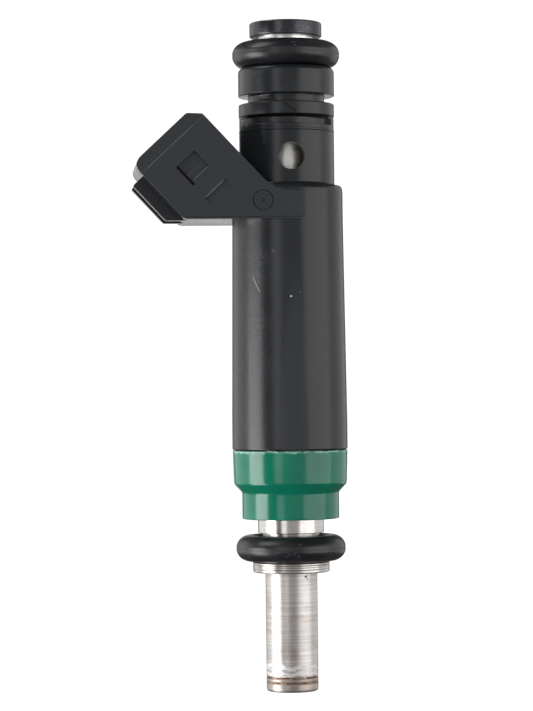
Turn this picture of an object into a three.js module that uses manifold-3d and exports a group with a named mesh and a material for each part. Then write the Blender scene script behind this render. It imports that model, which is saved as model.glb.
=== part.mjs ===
// Top-feed port fuel injector with an extended tip, in millimetres.
// The axis is Z: the spray face lies on z = 0 and the fuel inlet is at the top.
// The electrical header leans out towards -X, and the front of the injector faces -Y.
import * as THREE from 'three';
import { mergeVertices } from 'three/addons/utils/BufferGeometryUtils.js';
import Module from 'manifold-3d';

const wasm = await Module();
wasm.setup();

// ---- General ----
const SEGMENTS = 32; // facets round the large turned pieces
const FINE_SEGMENTS = 24; // facets round the small inner pieces
const HOLE_SEGMENTS = 16;
const SEAT_GAP = 0.05; // between pieces that sit on each other
const FIT = 0.03; // radial clearance of a pressed or seated piece
const CUT = 1; // how far a cutting tool runs past the face it cuts
const MERGE = 1e-4;

// ---- Tip and lower steel ----
const TIP_LENGTH = 16.0; // exposed length of the tip tube
const TIP_RADIUS = 3.5;
const TIP_WALL = 0.6;
const TIP_EDGE = 0.5; // rounding at the tip's end
const FLANGE_THICKNESS = 1.4;
const FLANGE_WIDTH = 1.675; // how far the flange stands out from the tip
const FLANGE_EDGE = 0.3;
const LOWER_GROOVE_WIDTH = 3.9;
const GROOVE_WALL = 0.4; // valve body's wall at the floor of the seal groove
const STEM_EXPOSED = 1.9; // bright stem between the seal groove and the spacer
const STEM_STEP = 0.55; // from the groove's floor to the stem
const VALVE_BODY_RISE = 2.6; // how far the valve body runs past the spacer's top
const SLEEVE_ENTRY = 1.5; // how deep the sleeve sits in the valve body

// ---- Spacer ring ----
const SPACER_HEIGHT = 9.2;
const SPACER_TOP_RADIUS = 7.75;
const SPACER_STEP_RADIUS = 7.625; // at the foot of the upper part
const SPACER_LOWER_RADIUS = 6.55;
const SPACER_LOWER_HEIGHT = 3.55;
const SPACER_CONE_HEIGHT = 1.15;

// ---- Moulded jacket ----
const BODY_HEIGHT = 30.8; // from the spacer to the underside of the connector block
const BODY_RADIUS = 7.785;
const BODY_SKIRT = 3.6; // straight part below the draft
const BODY_EDGE = 0.3;
const BODY_DRAFT = 0.31; // how much the body narrows towards its shoulder
const SHOULDER_HEIGHT = 4.7; // thickness of the connector block
const SHOULDER_FILLET = 1.0;
const NECK_RADIUS = 6.4;
const NECK_HEIGHT = 8.0;
const SLOT_HEIGHT = 1.3; // interrupted slot for the clip's tabs
const SLOT_DEPTH = 1.1;
const LAND_WIDTH = 5.4; // the two lands that interrupt the slot
const LOWER_COLLAR_HEIGHT = 1.7;
const CLIP_GROOVE_HEIGHT = 1.1;
const CLIP_GROOVE_DEPTH = 1.25;
const UPPER_COLLAR_HEIGHT = 3.8;
const LOWER_COLLAR_STEP = 0.035; // how far the collars stand out from the neck
const UPPER_COLLAR_STEP = 0.075;
const COLLAR_EDGE = 0.6;
const PIN_HOLE_RADIUS = 1.8; // where the mould's pins held the inlet tube
const PIN_HOLE_RISE = 3.7; // above the shoulder

// ---- Connector block and header ----
const HEADER_TILT = THREE.MathUtils.degToRad(47); // how steeply the header's axis climbs
const MOUTH_X = -16.95;
const MOUTH_RISE = 11.1; // the mouth's centre above the block's underside
const HEADER_HALF_HEIGHT = 5.625;
const HEADER_HALF_WIDTH = 7.7;
const HEADER_WALL = 1.6;
const MOUTH_CHAMFER = 1.5;
const SOCKET_DEPTH = 11.0;
const BLOCK_FLAT_END = 1.2; // where the block's flat sides end, past the axis
const BLOCK_BLEND_END = 2.6;
const BLOCK_BLEND_HALF_WIDTH = 7.0;
const KEY_START = 2.0; // key ribs begin this far behind the mouth
const KEY_HEIGHT = 1.7;
const KEY_WIDTH = 1.6;
const KEY_OFFSET = 3.0;
const LATCH = { start: 4.3, ramp: 5.85, end: 7.4, halfHeight: 1.5, deep: 1.0, shallow: 0.5 };
const DIMPLE = { start: 9.9, end: 11.7, halfHeight: 1.85, deep: 0.35 };

// ---- Terminals ----
const BLADE_START = 3.4; // blade tips behind the mouth
const BLADE_WIDTH = 2.8;
const BLADE_THICKNESS = 0.8;
const BLADE_OFFSET = 2.5; // half of the pitch
const BLADE_EMBEDDED = 2.0; // full width kept inside the plastic
const TAIL_WIDTH = 1.4;
const TAIL_OFFSET = 1.25; // the tails stand closer together than the blades
const TAIL_TO_TUBE = 0.25; // plastic between a tail and the inlet tube
const TERMINAL_GAP = 0.05;

// ---- Inlet end ----
const SEAL_LAND = 4.2; // bare tube that carries the upper O-ring
const CAP_HEIGHT = 1.9;
const CAP_RADIUS = 4.865;
const CAP_LIP = 0.5; // the cap's lip over the end of the tube
const CAP_CHAMFER = 0.25;
const INLET_RADIUS = 3.75;
const INLET_WALL = 0.95;
const FILTER_BORE_DEPTH = 19.0; // wide part of the inlet bore, for the filter
const SEAL_SECTION = 3.46; // both O-rings, stretched on their tubes
const SEAL_SIDES = 12;
const LOWER_SEAL_DROP = 0.1; // the lower O-ring sits a little below mid groove

// ---- Filter ----
const FILTER_COLLAR_LENGTH = 3.2;
const FILTER_COLLAR_WALL = 0.45;
const FILTER_DEPTH = 1.0; // the collar's top below the inlet
const FILTER_LENGTH = 11.5;
const FILTER_RING = 0.5;
const FILTER_RIB = 0.5;
const FILTER_RIBS = 4;
const FILTER_FOOT = 0.8;
const MESH_WALL = 0.15;

// ---- Magnetic circuit ----
const SLEEVE_SOCKET_WALL = 0.75; // valve body's wall round the sleeve
const SLEEVE_WALL = 0.45;
const POLE_ENTRY = 6.0; // how far the pole end sits in the sleeve
const BODY_WALL = 1.235; // plastic round the can
const CAN_WALL = 0.55;
const CAN_FLOOR = 3.55;
const CAN_HEADROOM = 5.8; // from the can's top to the block's underside
const WASHER_THICKNESS = 1.4;
const TOWER_WIDTH = 4.2; // the bobbin's tower, which carries the terminals' tails
const TOWER_GAP = 0.1;
const BOBBIN_HUB_WALL = 0.45;
const BOBBIN_FLANGE = 0.8;
const BOBBIN_MARGIN = 0.1; // from the bobbin's flanges to the can
const WINDING_MARGIN = 0.2;

// ---- Needle ----
const LIFT = 0.08;
const RESIDUAL_GAP = 0.05; // air gap left when the needle is fully open
const ARMATURE_CLEARANCE = 0.15;
const ARMATURE_LENGTH = 9.9;
const ARMATURE_RISE = 1.0; // above the valve body
const POCKET_DEPTH = 4.9;
const NEEDLE_RADIUS = 1.1;
const NEEDLE_WALL = 0.4;
const NEEDLE_ENTRY = 4.0; // how far the needle tube sits in the armature
const NEEDLE_PORT_RADIUS = 0.4;
const NEEDLE_PORT_RISE = 3.0; // the cross ports above the ball
const BALL_RADIUS = 1.6;
const BALL_ROWS = 12;
const SEAT_CONTACT_GAP = 0.02;

// ---- Spring and adjusting tube ----
const SPRING_RADIUS = 1.3;
const SPRING_WIRE = 0.24;
const SPRING_CLEARANCE = 0.21; // from the spring to its pocket
const CORE_STEP = 0.15; // the inlet tube's narrow bore is this much wider than the pocket
const SPRING_TURNS = 7;
const SPRING_STEPS_PER_TURN = 10;
const SPRING_SIDES = 6;
const ADJUSTER_LENGTH = 13.0;
const ADJUSTER_BORE = 0.9;

// ---- Valve seat ----
const PLATE_THICKNESS = 0.35;
const SPRAY_HOLES = 4;
const SPRAY_HOLE_RADIUS = 0.12;
const SPRAY_CIRCLE = 0.4;
const SEAT_HEIGHT = 2.6;
const SEAT_THROAT = 0.6;
const SEAT_THROAT_HEIGHT = 0.62;
const SEAT_POCKET_CLEARANCE = 0.4; // round the ball, above the cone
const GUIDE_THICKNESS = 0.8;
const GUIDE_CLEARANCE = 0.05;
const GUIDE_PORTS = 4;
const GUIDE_PORT_WALL = 0.2;

// ---- Radii that follow from the sizes above ----
const lowerGrooveRadius = TIP_RADIUS + GROOVE_WALL;
const stemRadius = lowerGrooveRadius + STEM_STEP;
const flangeRadius = TIP_RADIUS + FLANGE_WIDTH;
const tipBore = TIP_RADIUS - TIP_WALL;
const sleeveRadius = stemRadius - SLEEVE_SOCKET_WALL;
const sleeveBore = sleeveRadius - SLEEVE_WALL;
const armatureRadius = sleeveBore - ARMATURE_CLEARANCE;
const pocketRadius = SPRING_RADIUS + SPRING_WIRE + SPRING_CLEARANCE;
const coreBore = pocketRadius + CORE_STEP;
const needleBore = NEEDLE_RADIUS - NEEDLE_WALL;
const seatPocket = BALL_RADIUS + SEAT_POCKET_CLEARANCE;
const inletBore = INLET_RADIUS - INLET_WALL;
const canRadius = BODY_RADIUS - BODY_WALL;
const shoulderRadius = BODY_RADIUS - BODY_DRAFT;
const tailX = -(INLET_RADIUS + TAIL_TO_TUBE + BLADE_THICKNESS / 2);

// ---- Levels along the axis, from the spray face up ----
const zFlange = TIP_LENGTH;
const zFlangeTop = zFlange + FLANGE_THICKNESS;
const zStem = zFlangeTop + LOWER_GROOVE_WIDTH;
const zSpacer = zStem + STEM_EXPOSED;
const zSpacerTop = zSpacer + SPACER_HEIGHT;
const zBody = zSpacerTop + SEAT_GAP;
const zUnderside = zSpacerTop + BODY_HEIGHT;
const zShoulder = zUnderside + SHOULDER_HEIGHT;
const zSlot = zShoulder + NECK_HEIGHT;
const zLowerCollar = zSlot + SLOT_HEIGHT;
const zClipGroove = zLowerCollar + LOWER_COLLAR_HEIGHT;
const zUpperCollar = zClipGroove + CLIP_GROOVE_HEIGHT;
const zCollarTop = zUpperCollar + UPPER_COLLAR_HEIGHT;
const zCap = zCollarTop + SEAL_LAND;
const zInlet = zCap + CAP_HEIGHT;
const zTubeEnd = zInlet - CAP_LIP - SEAT_GAP;
const zValveTop = zSpacerTop + VALVE_BODY_RISE;
const zSleeve = zValveTop - SLEEVE_ENTRY;
const zArmature = zValveTop + ARMATURE_RISE;
const zArmatureTop = zArmature + ARMATURE_LENGTH;
const zPocket = zArmatureTop - POCKET_DEPTH;
const zPole = zArmatureTop + LIFT + RESIDUAL_GAP;
const zSleeveTop = zPole + POLE_ENTRY;
const zCanTop = zUnderside - CAN_HEADROOM;
const zCanFloor = zBody + CAN_FLOOR;
const zWasher = zCanTop - WASHER_THICKNESS;
const zBobbin = zCanFloor + SEAT_GAP;
const zBobbinTop = zWasher - SEAT_GAP;
const zSeat = PLATE_THICKNESS + FIT;
const zCone = zSeat + SEAT_THROAT_HEIGHT;
const zSeatTop = zSeat + SEAT_HEIGHT;
const zBall = zCone - SEAT_THROAT + Math.SQRT2 * (BALL_RADIUS + SEAT_CONTACT_GAP);
const zNeedle = zBall + Math.sqrt(BALL_RADIUS ** 2 - needleBore ** 2) + SEAT_CONTACT_GAP;
const zMouth = zUnderside + MOUTH_RISE;

// ---- Shape helpers ----

// The radius of a faceted bore whose flats clear a shaft of the given radius
function boreFor(shaftRadius, clearance = FIT, segments = FINE_SEGMENTS) {
  return (shaftRadius + clearance) / Math.cos(Math.PI / segments);
}

// A solid of revolution about Z from [radius, z] points
function turned(points, segments = SEGMENTS) {
  const outline = points.map(([radius, z]) => new THREE.Vector2(radius, z));
  if (THREE.ShapeUtils.area(outline) < 0) {
    outline.reverse();
  }
  const onAxis = outline[0].x === 0 && outline[outline.length - 1].x === 0;
  if (!onAxis) {
    outline.push(outline[0].clone());
  }
  return new THREE.LatheGeometry(outline, segments).rotateX(Math.PI / 2);
}

// A plain ring or tube between two radii and two levels
function tube(inner, outer, bottom, top, segments = SEGMENTS) {
  return turned([[inner, bottom], [outer, bottom], [outer, top], [inner, top]], segments);
}

// A plain solid cylinder on the axis
function plug(radius, bottom, top, segments = SEGMENTS) {
  return turned([[0, bottom], [radius, bottom], [radius, top], [0, top]], segments);
}

// [x, z] points extruded across Y between two planes
function slab(points, yLow, yHigh) {
  const shape = new THREE.Shape(points.map(([x, z]) => new THREE.Vector2(x, z)));
  const geometry = new THREE.ExtrudeGeometry(shape, { depth: yHigh - yLow, bevelEnabled: false });
  return geometry.rotateX(Math.PI / 2).translate(0, yHigh, 0);
}

// [x, y] points extruded up Z between two levels
function column(points, bottom, top) {
  const shape = new THREE.Shape(points.map(([x, y]) => new THREE.Vector2(x, y)));
  const geometry = new THREE.ExtrudeGeometry(shape, { depth: top - bottom, bevelEnabled: false });
  return geometry.translate(0, 0, bottom);
}

function block(xLow, xHigh, yLow, yHigh, zLow, zHigh) {
  return column([[xLow, yLow], [xHigh, yLow], [xHigh, yHigh], [xLow, yHigh]], zLow, zHigh);
}

// A cylinder along Y, centred on x = 0
function crossPin(radius, z, yLow, yHigh) {
  const geometry = new THREE.CylinderGeometry(radius, radius, yHigh - yLow, HOLE_SEGMENTS);
  return geometry.translate(0, (yLow + yHigh) / 2, z);
}

// A quarter-round between two faces, as points from one tangent to the other
function quarter(centreR, centreZ, radius, fromDegrees, toDegrees, steps = 3) {
  return Array.from({ length: steps + 1 }, (_, i) => {
    const angle = THREE.MathUtils.degToRad(fromDegrees + ((toDegrees - fromDegrees) * i) / steps);
    return [centreR + radius * Math.cos(angle), centreZ + radius * Math.sin(angle)];
  });
}

// ---- Joining and cutting ----

function solid(geometry) {
  const bare = geometry.clone();
  bare.deleteAttribute('normal');
  bare.deleteAttribute('uv');
  const welded = mergeVertices(bare, MERGE);
  const mesh = new wasm.Mesh({
    numProp: 3,
    vertProperties: new Float32Array(welded.attributes.position.array),
    triVerts: new Uint32Array(welded.index.array),
  });
  return new wasm.Manifold(mesh);
}

function surface(manifold) {
  const { vertProperties, triVerts } = manifold.getMesh();
  const geometry = new THREE.BufferGeometry();
  geometry.setAttribute('position', new THREE.BufferAttribute(vertProperties, 3));
  geometry.setIndex(new THREE.BufferAttribute(triVerts, 1));
  geometry.computeVertexNormals();
  return geometry;
}

function joined(first, ...others) {
  return others.reduce((whole, next) => whole.add(solid(next)), solid(first));
}

function carved(whole, ...cutters) {
  return cutters.reduce((rest, cutter) => rest.subtract(solid(cutter)), whole);
}

// Copies of a piece spaced evenly round the axis
function aroundAxis(count, make, start = 0) {
  return Array.from({ length: count }, (_, i) => make().rotateZ(start + (2 * Math.PI * i) / count));
}

// ---- Header frame ----

// A point given by its depth behind the mouth and its offset across the header, as [x, z]
function headerPoint(depth, offset) {
  const cos = Math.cos(HEADER_TILT);
  const sin = Math.sin(HEADER_TILT);
  return [MOUTH_X + depth * cos + offset * sin, zMouth - depth * sin + offset * cos];
}

// The depth at which a line at a fixed offset reaches a level
function depthAtLevel(offset, z) {
  return (zMouth + offset * Math.cos(HEADER_TILT) - z) / Math.sin(HEADER_TILT);
}

// A box in the header's own directions
function headerBox(depthStart, depthEnd, offsetLow, offsetHigh, yLow, yHigh) {
  const corners = [
    headerPoint(depthStart, offsetLow),
    headerPoint(depthEnd, offsetLow),
    headerPoint(depthEnd, offsetHigh),
    headerPoint(depthStart, offsetHigh),
  ];
  return slab(corners, yLow, yHigh);
}

// ---- Tip and lower steel ----

function orificePlate() {
  const plate = solid(plug(insideTip(), 0, PLATE_THICKNESS, FINE_SEGMENTS));
  const drill = () => plug(SPRAY_HOLE_RADIUS, -CUT, CUT, HOLE_SEGMENTS / 2).translate(SPRAY_CIRCLE, 0, 0);
  return surface(carved(plate, ...aroundAxis(SPRAY_HOLES, drill, Math.PI / SPRAY_HOLES)));
}

function insideTip() {
  return tipBore * Math.cos(Math.PI / SEGMENTS) - FIT;
}

function valveSeat() {
  const pocketLevel = zCone + seatPocket - SEAT_THROAT;
  return turned([
    [SEAT_THROAT, zSeat],
    [insideTip(), zSeat],
    [insideTip(), zSeatTop],
    [seatPocket, zSeatTop],
    [seatPocket, pocketLevel],
    [SEAT_THROAT, zCone],
  ], FINE_SEGMENTS);
}

function ballGuide() {
  const bottom = zSeatTop + FIT;
  const top = bottom + GUIDE_THICKNESS;
  const bore = boreFor(BALL_RADIUS, GUIDE_CLEARANCE);
  const ring = solid(tube(bore, insideTip(), bottom, top, FINE_SEGMENTS));
  const portRadius = (insideTip() - bore) / 2 - GUIDE_PORT_WALL;
  const portCircle = (insideTip() + bore) / 2;
  const port = () => plug(portRadius, bottom - CUT, top + CUT, HOLE_SEGMENTS / 2)
    .translate(portCircle, 0, 0);
  return surface(carved(ring, ...aroundAxis(GUIDE_PORTS, port)));
}

function tipTube() {
  return turned([
    [tipBore, 0],
    ...quarter(TIP_RADIUS - TIP_EDGE, TIP_EDGE, TIP_EDGE, -90, 0),
    [TIP_RADIUS, zSleeve - SEAT_GAP],
    [tipBore, zSleeve - SEAT_GAP],
  ]);
}

function tipFlange() {
  const bore = boreFor(TIP_RADIUS, FIT, SEGMENTS);
  return turned([
    [bore, zFlange],
    ...quarter(flangeRadius - FLANGE_EDGE, zFlange + FLANGE_EDGE, FLANGE_EDGE, -90, 0, 2),
    [flangeRadius, zFlangeTop - SEAT_GAP],
    [bore, zFlangeTop - SEAT_GAP],
  ]);
}

function valveBody() {
  const bore = boreFor(TIP_RADIUS, FIT, SEGMENTS);
  const socketBore = boreFor(sleeveRadius);
  return turned([
    [bore, zFlangeTop],
    [lowerGrooveRadius, zFlangeTop],
    [lowerGrooveRadius, zStem],
    [stemRadius, zStem],
    [stemRadius, zValveTop],
    [socketBore, zValveTop],
    [socketBore, zSleeve - SEAT_GAP],
    [bore, zSleeve - SEAT_GAP],
  ]);
}

function spacerRing() {
  const bore = boreFor(stemRadius, FIT, SEGMENTS);
  const zStep = zSpacer + SPACER_LOWER_HEIGHT;
  return turned([
    [bore, zSpacer],
    [SPACER_LOWER_RADIUS, zSpacer],
    [SPACER_LOWER_RADIUS, zStep],
    [SPACER_STEP_RADIUS, zStep + SPACER_CONE_HEIGHT],
    [SPACER_TOP_RADIUS, zSpacerTop],
    [bore, zSpacerTop],
  ]);
}

// ---- O-rings ----

function oRing(shaftRadius, z) {
  const half = SEAL_SECTION / 2;
  const centre = boreFor(shaftRadius, FIT, SEGMENTS) + half;
  return new THREE.TorusGeometry(centre, half, SEAL_SIDES, SEGMENTS).translate(0, 0, z);
}

// ---- Jacket ----

function jacketTurned() {
  const lowerCollar = NECK_RADIUS + LOWER_COLLAR_STEP;
  const upperCollar = NECK_RADIUS + UPPER_COLLAR_STEP;
  const grooveFloor = NECK_RADIUS - CLIP_GROOVE_DEPTH;
  return turned([
    [0, zBody],
    [BODY_RADIUS - BODY_EDGE, zBody],
    [BODY_RADIUS, zBody + BODY_EDGE],
    [BODY_RADIUS, zSpacerTop + BODY_SKIRT],
    [shoulderRadius, zUnderside],
    ...quarter(shoulderRadius - SHOULDER_FILLET, zShoulder - SHOULDER_FILLET, SHOULDER_FILLET, 0, 90),
    [NECK_RADIUS, zShoulder],
    [NECK_RADIUS, zLowerCollar],
    [lowerCollar, zLowerCollar],
    [lowerCollar, zClipGroove],
    [grooveFloor, zClipGroove],
    [grooveFloor, zUpperCollar],
    [upperCollar, zUpperCollar],
    ...quarter(upperCollar - COLLAR_EDGE, zCollarTop - COLLAR_EDGE, COLLAR_EDGE, 0, 90),
    [0, zCollarTop],
  ]);
}

// The connector block and header seen from the front, as [x, z] points
function blockOutline() {
  const low = -HEADER_HALF_HEIGHT;
  const high = HEADER_HALF_HEIGHT;
  const zBlockTop = zShoulder - SHOULDER_FILLET;
  return [
    headerPoint(0, low),
    headerPoint(depthAtLevel(low, zUnderside), low),
    [BLOCK_BLEND_END, zUnderside],
    [BLOCK_BLEND_END, zBlockTop],
    headerPoint(depthAtLevel(high, zBlockTop), high),
    headerPoint(MOUTH_CHAMFER, high),
    headerPoint(0, high - MOUTH_CHAMFER),
  ];
}

// The same block seen from above, as [x, y] points
function blockPlan() {
  const far = MOUTH_X - 2 * HEADER_HALF_HEIGHT;
  return [
    [far, -HEADER_HALF_WIDTH],
    [BLOCK_FLAT_END, -HEADER_HALF_WIDTH],
    [BLOCK_BLEND_END, -BLOCK_BLEND_HALF_WIDTH],
    [BLOCK_BLEND_END, BLOCK_BLEND_HALF_WIDTH],
    [BLOCK_FLAT_END, HEADER_HALF_WIDTH],
    [far, HEADER_HALF_WIDTH],
  ];
}

function connectorBlock() {
  const front = solid(slab(blockOutline(), -2 * HEADER_HALF_WIDTH, 2 * HEADER_HALF_WIDTH));
  return front.intersect(solid(column(blockPlan(), zUnderside - CUT, zMouth + 2 * HEADER_HALF_HEIGHT)));
}

function keyRibs() {
  const root = -HEADER_HALF_HEIGHT + HEADER_WALL / 2;
  const tip = -HEADER_HALF_HEIGHT - KEY_HEIGHT;
  const outline = [
    headerPoint(KEY_START, root),
    headerPoint(KEY_START, tip),
    headerPoint(depthAtLevel(tip, zUnderside), tip),
    headerPoint(depthAtLevel(root, zUnderside), root),
  ];
  return [-KEY_OFFSET, KEY_OFFSET].map((y) => slab(outline, y - KEY_WIDTH / 2, y + KEY_WIDTH / 2));
}

// A pocket sunk into both flat sides of the header
function sidePockets(start, end, halfHeight, depth) {
  const floor = HEADER_HALF_WIDTH - depth;
  const outside = HEADER_HALF_WIDTH + CUT;
  return [
    headerBox(start, end, -halfHeight, halfHeight, floor, outside),
    headerBox(start, end, -halfHeight, halfHeight, -outside, -floor),
  ];
}

function socket() {
  const halfHeight = HEADER_HALF_HEIGHT - HEADER_WALL;
  const halfWidth = HEADER_HALF_WIDTH - HEADER_WALL;
  return headerBox(-CUT, SOCKET_DEPTH, -halfHeight, halfHeight, -halfWidth, halfWidth);
}

function slotCutters() {
  const ring = solid(tube(NECK_RADIUS - SLOT_DEPTH, NECK_RADIUS + CUT, zSlot, zLowerCollar));
  const land = block(
    -2 * NECK_RADIUS, 2 * NECK_RADIUS, -LAND_WIDTH / 2, LAND_WIDTH / 2, zSlot - CUT, zLowerCollar + CUT,
  );
  return surface(carved(ring, land));
}

function jacket() {
  const outer = joined(jacketTurned(), ...keyRibs()).add(connectorBlock());
  const canBore = boreFor(canRadius, FIT, SEGMENTS);
  const tubeBore = boreFor(INLET_RADIUS, FIT, SEGMENTS);
  return surface(carved(
    outer,
    socket(),
    ...sidePockets(LATCH.start, LATCH.ramp, LATCH.halfHeight, LATCH.deep),
    ...sidePockets(LATCH.ramp, LATCH.end, LATCH.halfHeight, LATCH.shallow),
    ...sidePockets(DIMPLE.start, DIMPLE.end, DIMPLE.halfHeight, DIMPLE.deep),
    slotCutters(),
    crossPin(PIN_HOLE_RADIUS, zShoulder + PIN_HOLE_RISE, -2 * NECK_RADIUS, 2 * NECK_RADIUS),
    plug(canBore, zBody - CUT, zCanTop + FIT),
    plug(tubeBore, zCanTop, zCollarTop + CUT),
    terminal(-1, TERMINAL_GAP),
    terminal(1, TERMINAL_GAP),
  ));
}

// ---- Terminals ----

// The bent strip seen from the front: down the header's axis, then down to the bobbin
function stripOutline(from, grow) {
  const half = BLADE_THICKNESS / 2 + grow;
  const tilt = HEADER_TILT;
  const bendDepth = (tailX - MOUTH_X) / Math.cos(tilt);
  const [bendX, bendZ] = headerPoint(bendDepth, 0);
  const mitre = half * Math.tan((Math.PI / 2 - tilt) / 2);
  const bottom = zCanTop + 2 * SEAT_GAP - grow;
  return [
    headerPoint(from - grow, half),
    headerPoint(from - grow, -half),
    [bendX - half, bendZ - mitre],
    [bendX - half, bottom],
    [bendX + half, bottom],
    [bendX + half, bendZ + mitre],
  ];
}

// One terminal: a wide blade in the socket and a narrow tail to the winding
function terminal(side, grow = 0) {
  const yBlade = side * BLADE_OFFSET;
  const yTail = side * TAIL_OFFSET;
  const halfBlade = BLADE_WIDTH / 2 + grow;
  const halfTail = TAIL_WIDTH / 2 + grow;
  const half = BLADE_THICKNESS / 2 + grow;
  const bladeEnd = SOCKET_DEPTH + BLADE_EMBEDDED + grow;
  const blade = headerBox(
    BLADE_START - grow, bladeEnd, -half, half, yBlade - halfBlade, yBlade + halfBlade,
  );
  const tail = slab(stripOutline(SOCKET_DEPTH, grow), yTail - halfTail, yTail + halfTail);
  return surface(joined(blade, tail));
}

// ---- Inlet end ----

function inletTube() {
  const poleRadius = sleeveBore * Math.cos(Math.PI / FINE_SEGMENTS) - FIT;
  const zWide = zTubeEnd - FILTER_BORE_DEPTH;
  return turned([
    [coreBore, zPole],
    [poleRadius, zPole],
    [poleRadius, zSleeveTop + SEAT_GAP],
    [INLET_RADIUS, zSleeveTop + SEAT_GAP],
    [INLET_RADIUS, zTubeEnd],
    [inletBore, zTubeEnd],
    [inletBore, zWide],
    [coreBore, zWide - (inletBore - coreBore)],
  ]);
}

function inletCap() {
  const bore = boreFor(INLET_RADIUS, FIT, SEGMENTS);
  return turned([
    [bore, zCap],
    [CAP_RADIUS - CAP_CHAMFER, zCap],
    [CAP_RADIUS, zCap + CAP_CHAMFER],
    [CAP_RADIUS, zInlet - CAP_CHAMFER],
    [CAP_RADIUS - CAP_CHAMFER, zInlet],
    [inletBore, zInlet],
    [inletBore, zInlet - CAP_LIP],
    [bore, zInlet - CAP_LIP],
  ]);
}

function filterCollarRadius() {
  return inletBore * Math.cos(Math.PI / SEGMENTS) - FIT;
}

function filterCollar() {
  const outer = filterCollarRadius();
  const top = zInlet - FILTER_DEPTH;
  return tube(outer - FILTER_COLLAR_WALL, outer, top - FILTER_COLLAR_LENGTH, top, FINE_SEGMENTS);
}

function filterFrameRadius() {
  const collarBore = filterCollarRadius() - FILTER_COLLAR_WALL;
  return collarBore * Math.cos(Math.PI / FINE_SEGMENTS) - FIT;
}

function filterMeshRadius() {
  return filterFrameRadius() - FILTER_RIB - FIT;
}

function filterFrame() {
  const outer = filterFrameRadius();
  const top = zInlet - FILTER_DEPTH;
  const bottom = top - FILTER_LENGTH;
  const ringBottom = top - FILTER_COLLAR_LENGTH;
  const ribInner = boreFor(filterMeshRadius());
  const rib = () => block(
    ribInner, outer - FIT, -FILTER_RIB / 2, FILTER_RIB / 2, bottom + FILTER_FOOT / 2, ringBottom + CUT,
  );
  return surface(joined(
    tube(outer - FILTER_RING, outer, ringBottom, top, FINE_SEGMENTS),
    plug(outer, bottom, bottom + FILTER_FOOT, FINE_SEGMENTS),
    ...aroundAxis(FILTER_RIBS, rib),
  ));
}

function filterMesh() {
  const outer = filterMeshRadius();
  const top = zInlet - FILTER_DEPTH - FILTER_COLLAR_LENGTH - FIT;
  const bottom = zInlet - FILTER_DEPTH - FILTER_LENGTH + FILTER_FOOT + FIT;
  return tube(outer - MESH_WALL, outer, bottom, top, FINE_SEGMENTS);
}

// ---- Magnetic circuit ----

function magneticSleeve() {
  return tube(sleeveBore, sleeveRadius, zSleeve, zSleeveTop, FINE_SEGMENTS);
}

function magnetCan() {
  const stemBore = boreFor(stemRadius, FIT, SEGMENTS);
  const floorBore = boreFor(sleeveRadius);
  return turned([
    [stemBore, zBody],
    [canRadius, zBody],
    [canRadius, zCanTop],
    [canRadius - CAN_WALL, zCanTop],
    [canRadius - CAN_WALL, zCanFloor],
    [floorBore, zCanFloor],
    [floorBore, zValveTop + SEAT_GAP],
    [stemBore, zValveTop + SEAT_GAP],
  ]);
}

function insideCan() {
  return (canRadius - CAN_WALL) * Math.cos(Math.PI / SEGMENTS) - FIT;
}

function fluxWasher() {
  const bore = boreFor(INLET_RADIUS);
  const ring = solid(tube(bore, insideCan(), zWasher, zCanTop, FINE_SEGMENTS));
  const halfSlot = TOWER_WIDTH / 2 + TOWER_GAP;
  const slot = block(-canRadius, 0, -halfSlot, halfSlot, zWasher - CUT, zCanTop + CUT);
  return surface(carved(ring, slot));
}

// The bobbin sits on the sleeve below and on the inlet tube above
function bobbinBores() {
  return { onSleeve: boreFor(sleeveRadius), onTube: boreFor(INLET_RADIUS) };
}

function bobbinHub() {
  const { onSleeve, onTube } = bobbinBores();
  return Math.max(onSleeve, onTube) + BOBBIN_HUB_WALL;
}

function bobbin() {
  const { onSleeve, onTube } = bobbinBores();
  const hub = bobbinHub();
  const rim = insideCan() - BOBBIN_MARGIN;
  // the pole end may be wider than the tube, and then the step clears it
  const zStep = onSleeve > onTube ? zSleeveTop + 2 * SEAT_GAP : zSleeveTop + SEAT_GAP / 2;
  const spool = turned([
    [onSleeve, zBobbin],
    [rim, zBobbin],
    [rim, zBobbin + BOBBIN_FLANGE],
    [hub, zBobbin + BOBBIN_FLANGE],
    [hub, zBobbinTop - BOBBIN_FLANGE],
    [rim, zBobbinTop - BOBBIN_FLANGE],
    [rim, zBobbinTop],
    [onTube, zBobbinTop],
    [onTube, zStep],
    [onSleeve, zStep],
  ], FINE_SEGMENTS);
  const zTowerFoot = zBobbinTop - BOBBIN_FLANGE / 2;
  const wall = tube(onTube, rim, zTowerFoot, zCanTop, FINE_SEGMENTS);
  const sector = block(-canRadius, 0, -TOWER_WIDTH / 2, TOWER_WIDTH / 2, zTowerFoot, zCanTop);
  return surface(solid(spool).add(solid(wall).intersect(solid(sector))));
}

function winding() {
  const inner = boreFor(bobbinHub());
  const outer = insideCan() - BOBBIN_MARGIN - WINDING_MARGIN;
  const bottom = zBobbin + BOBBIN_FLANGE + FIT;
  return tube(inner, outer, bottom, zBobbinTop - BOBBIN_FLANGE - FIT, FINE_SEGMENTS);
}

// ---- Needle ----

function armature() {
  const pressBore = boreFor(NEEDLE_RADIUS, FIT, HOLE_SEGMENTS);
  const zNeedleTop = zArmature + NEEDLE_ENTRY;
  return turned([
    [pressBore, zArmature],
    [armatureRadius, zArmature],
    [armatureRadius, zArmatureTop],
    [pocketRadius, zArmatureTop],
    [pocketRadius, zPocket],
    [needleBore, zPocket],
    [needleBore, zNeedleTop],
    [pressBore, zNeedleTop],
  ], FINE_SEGMENTS);
}

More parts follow.
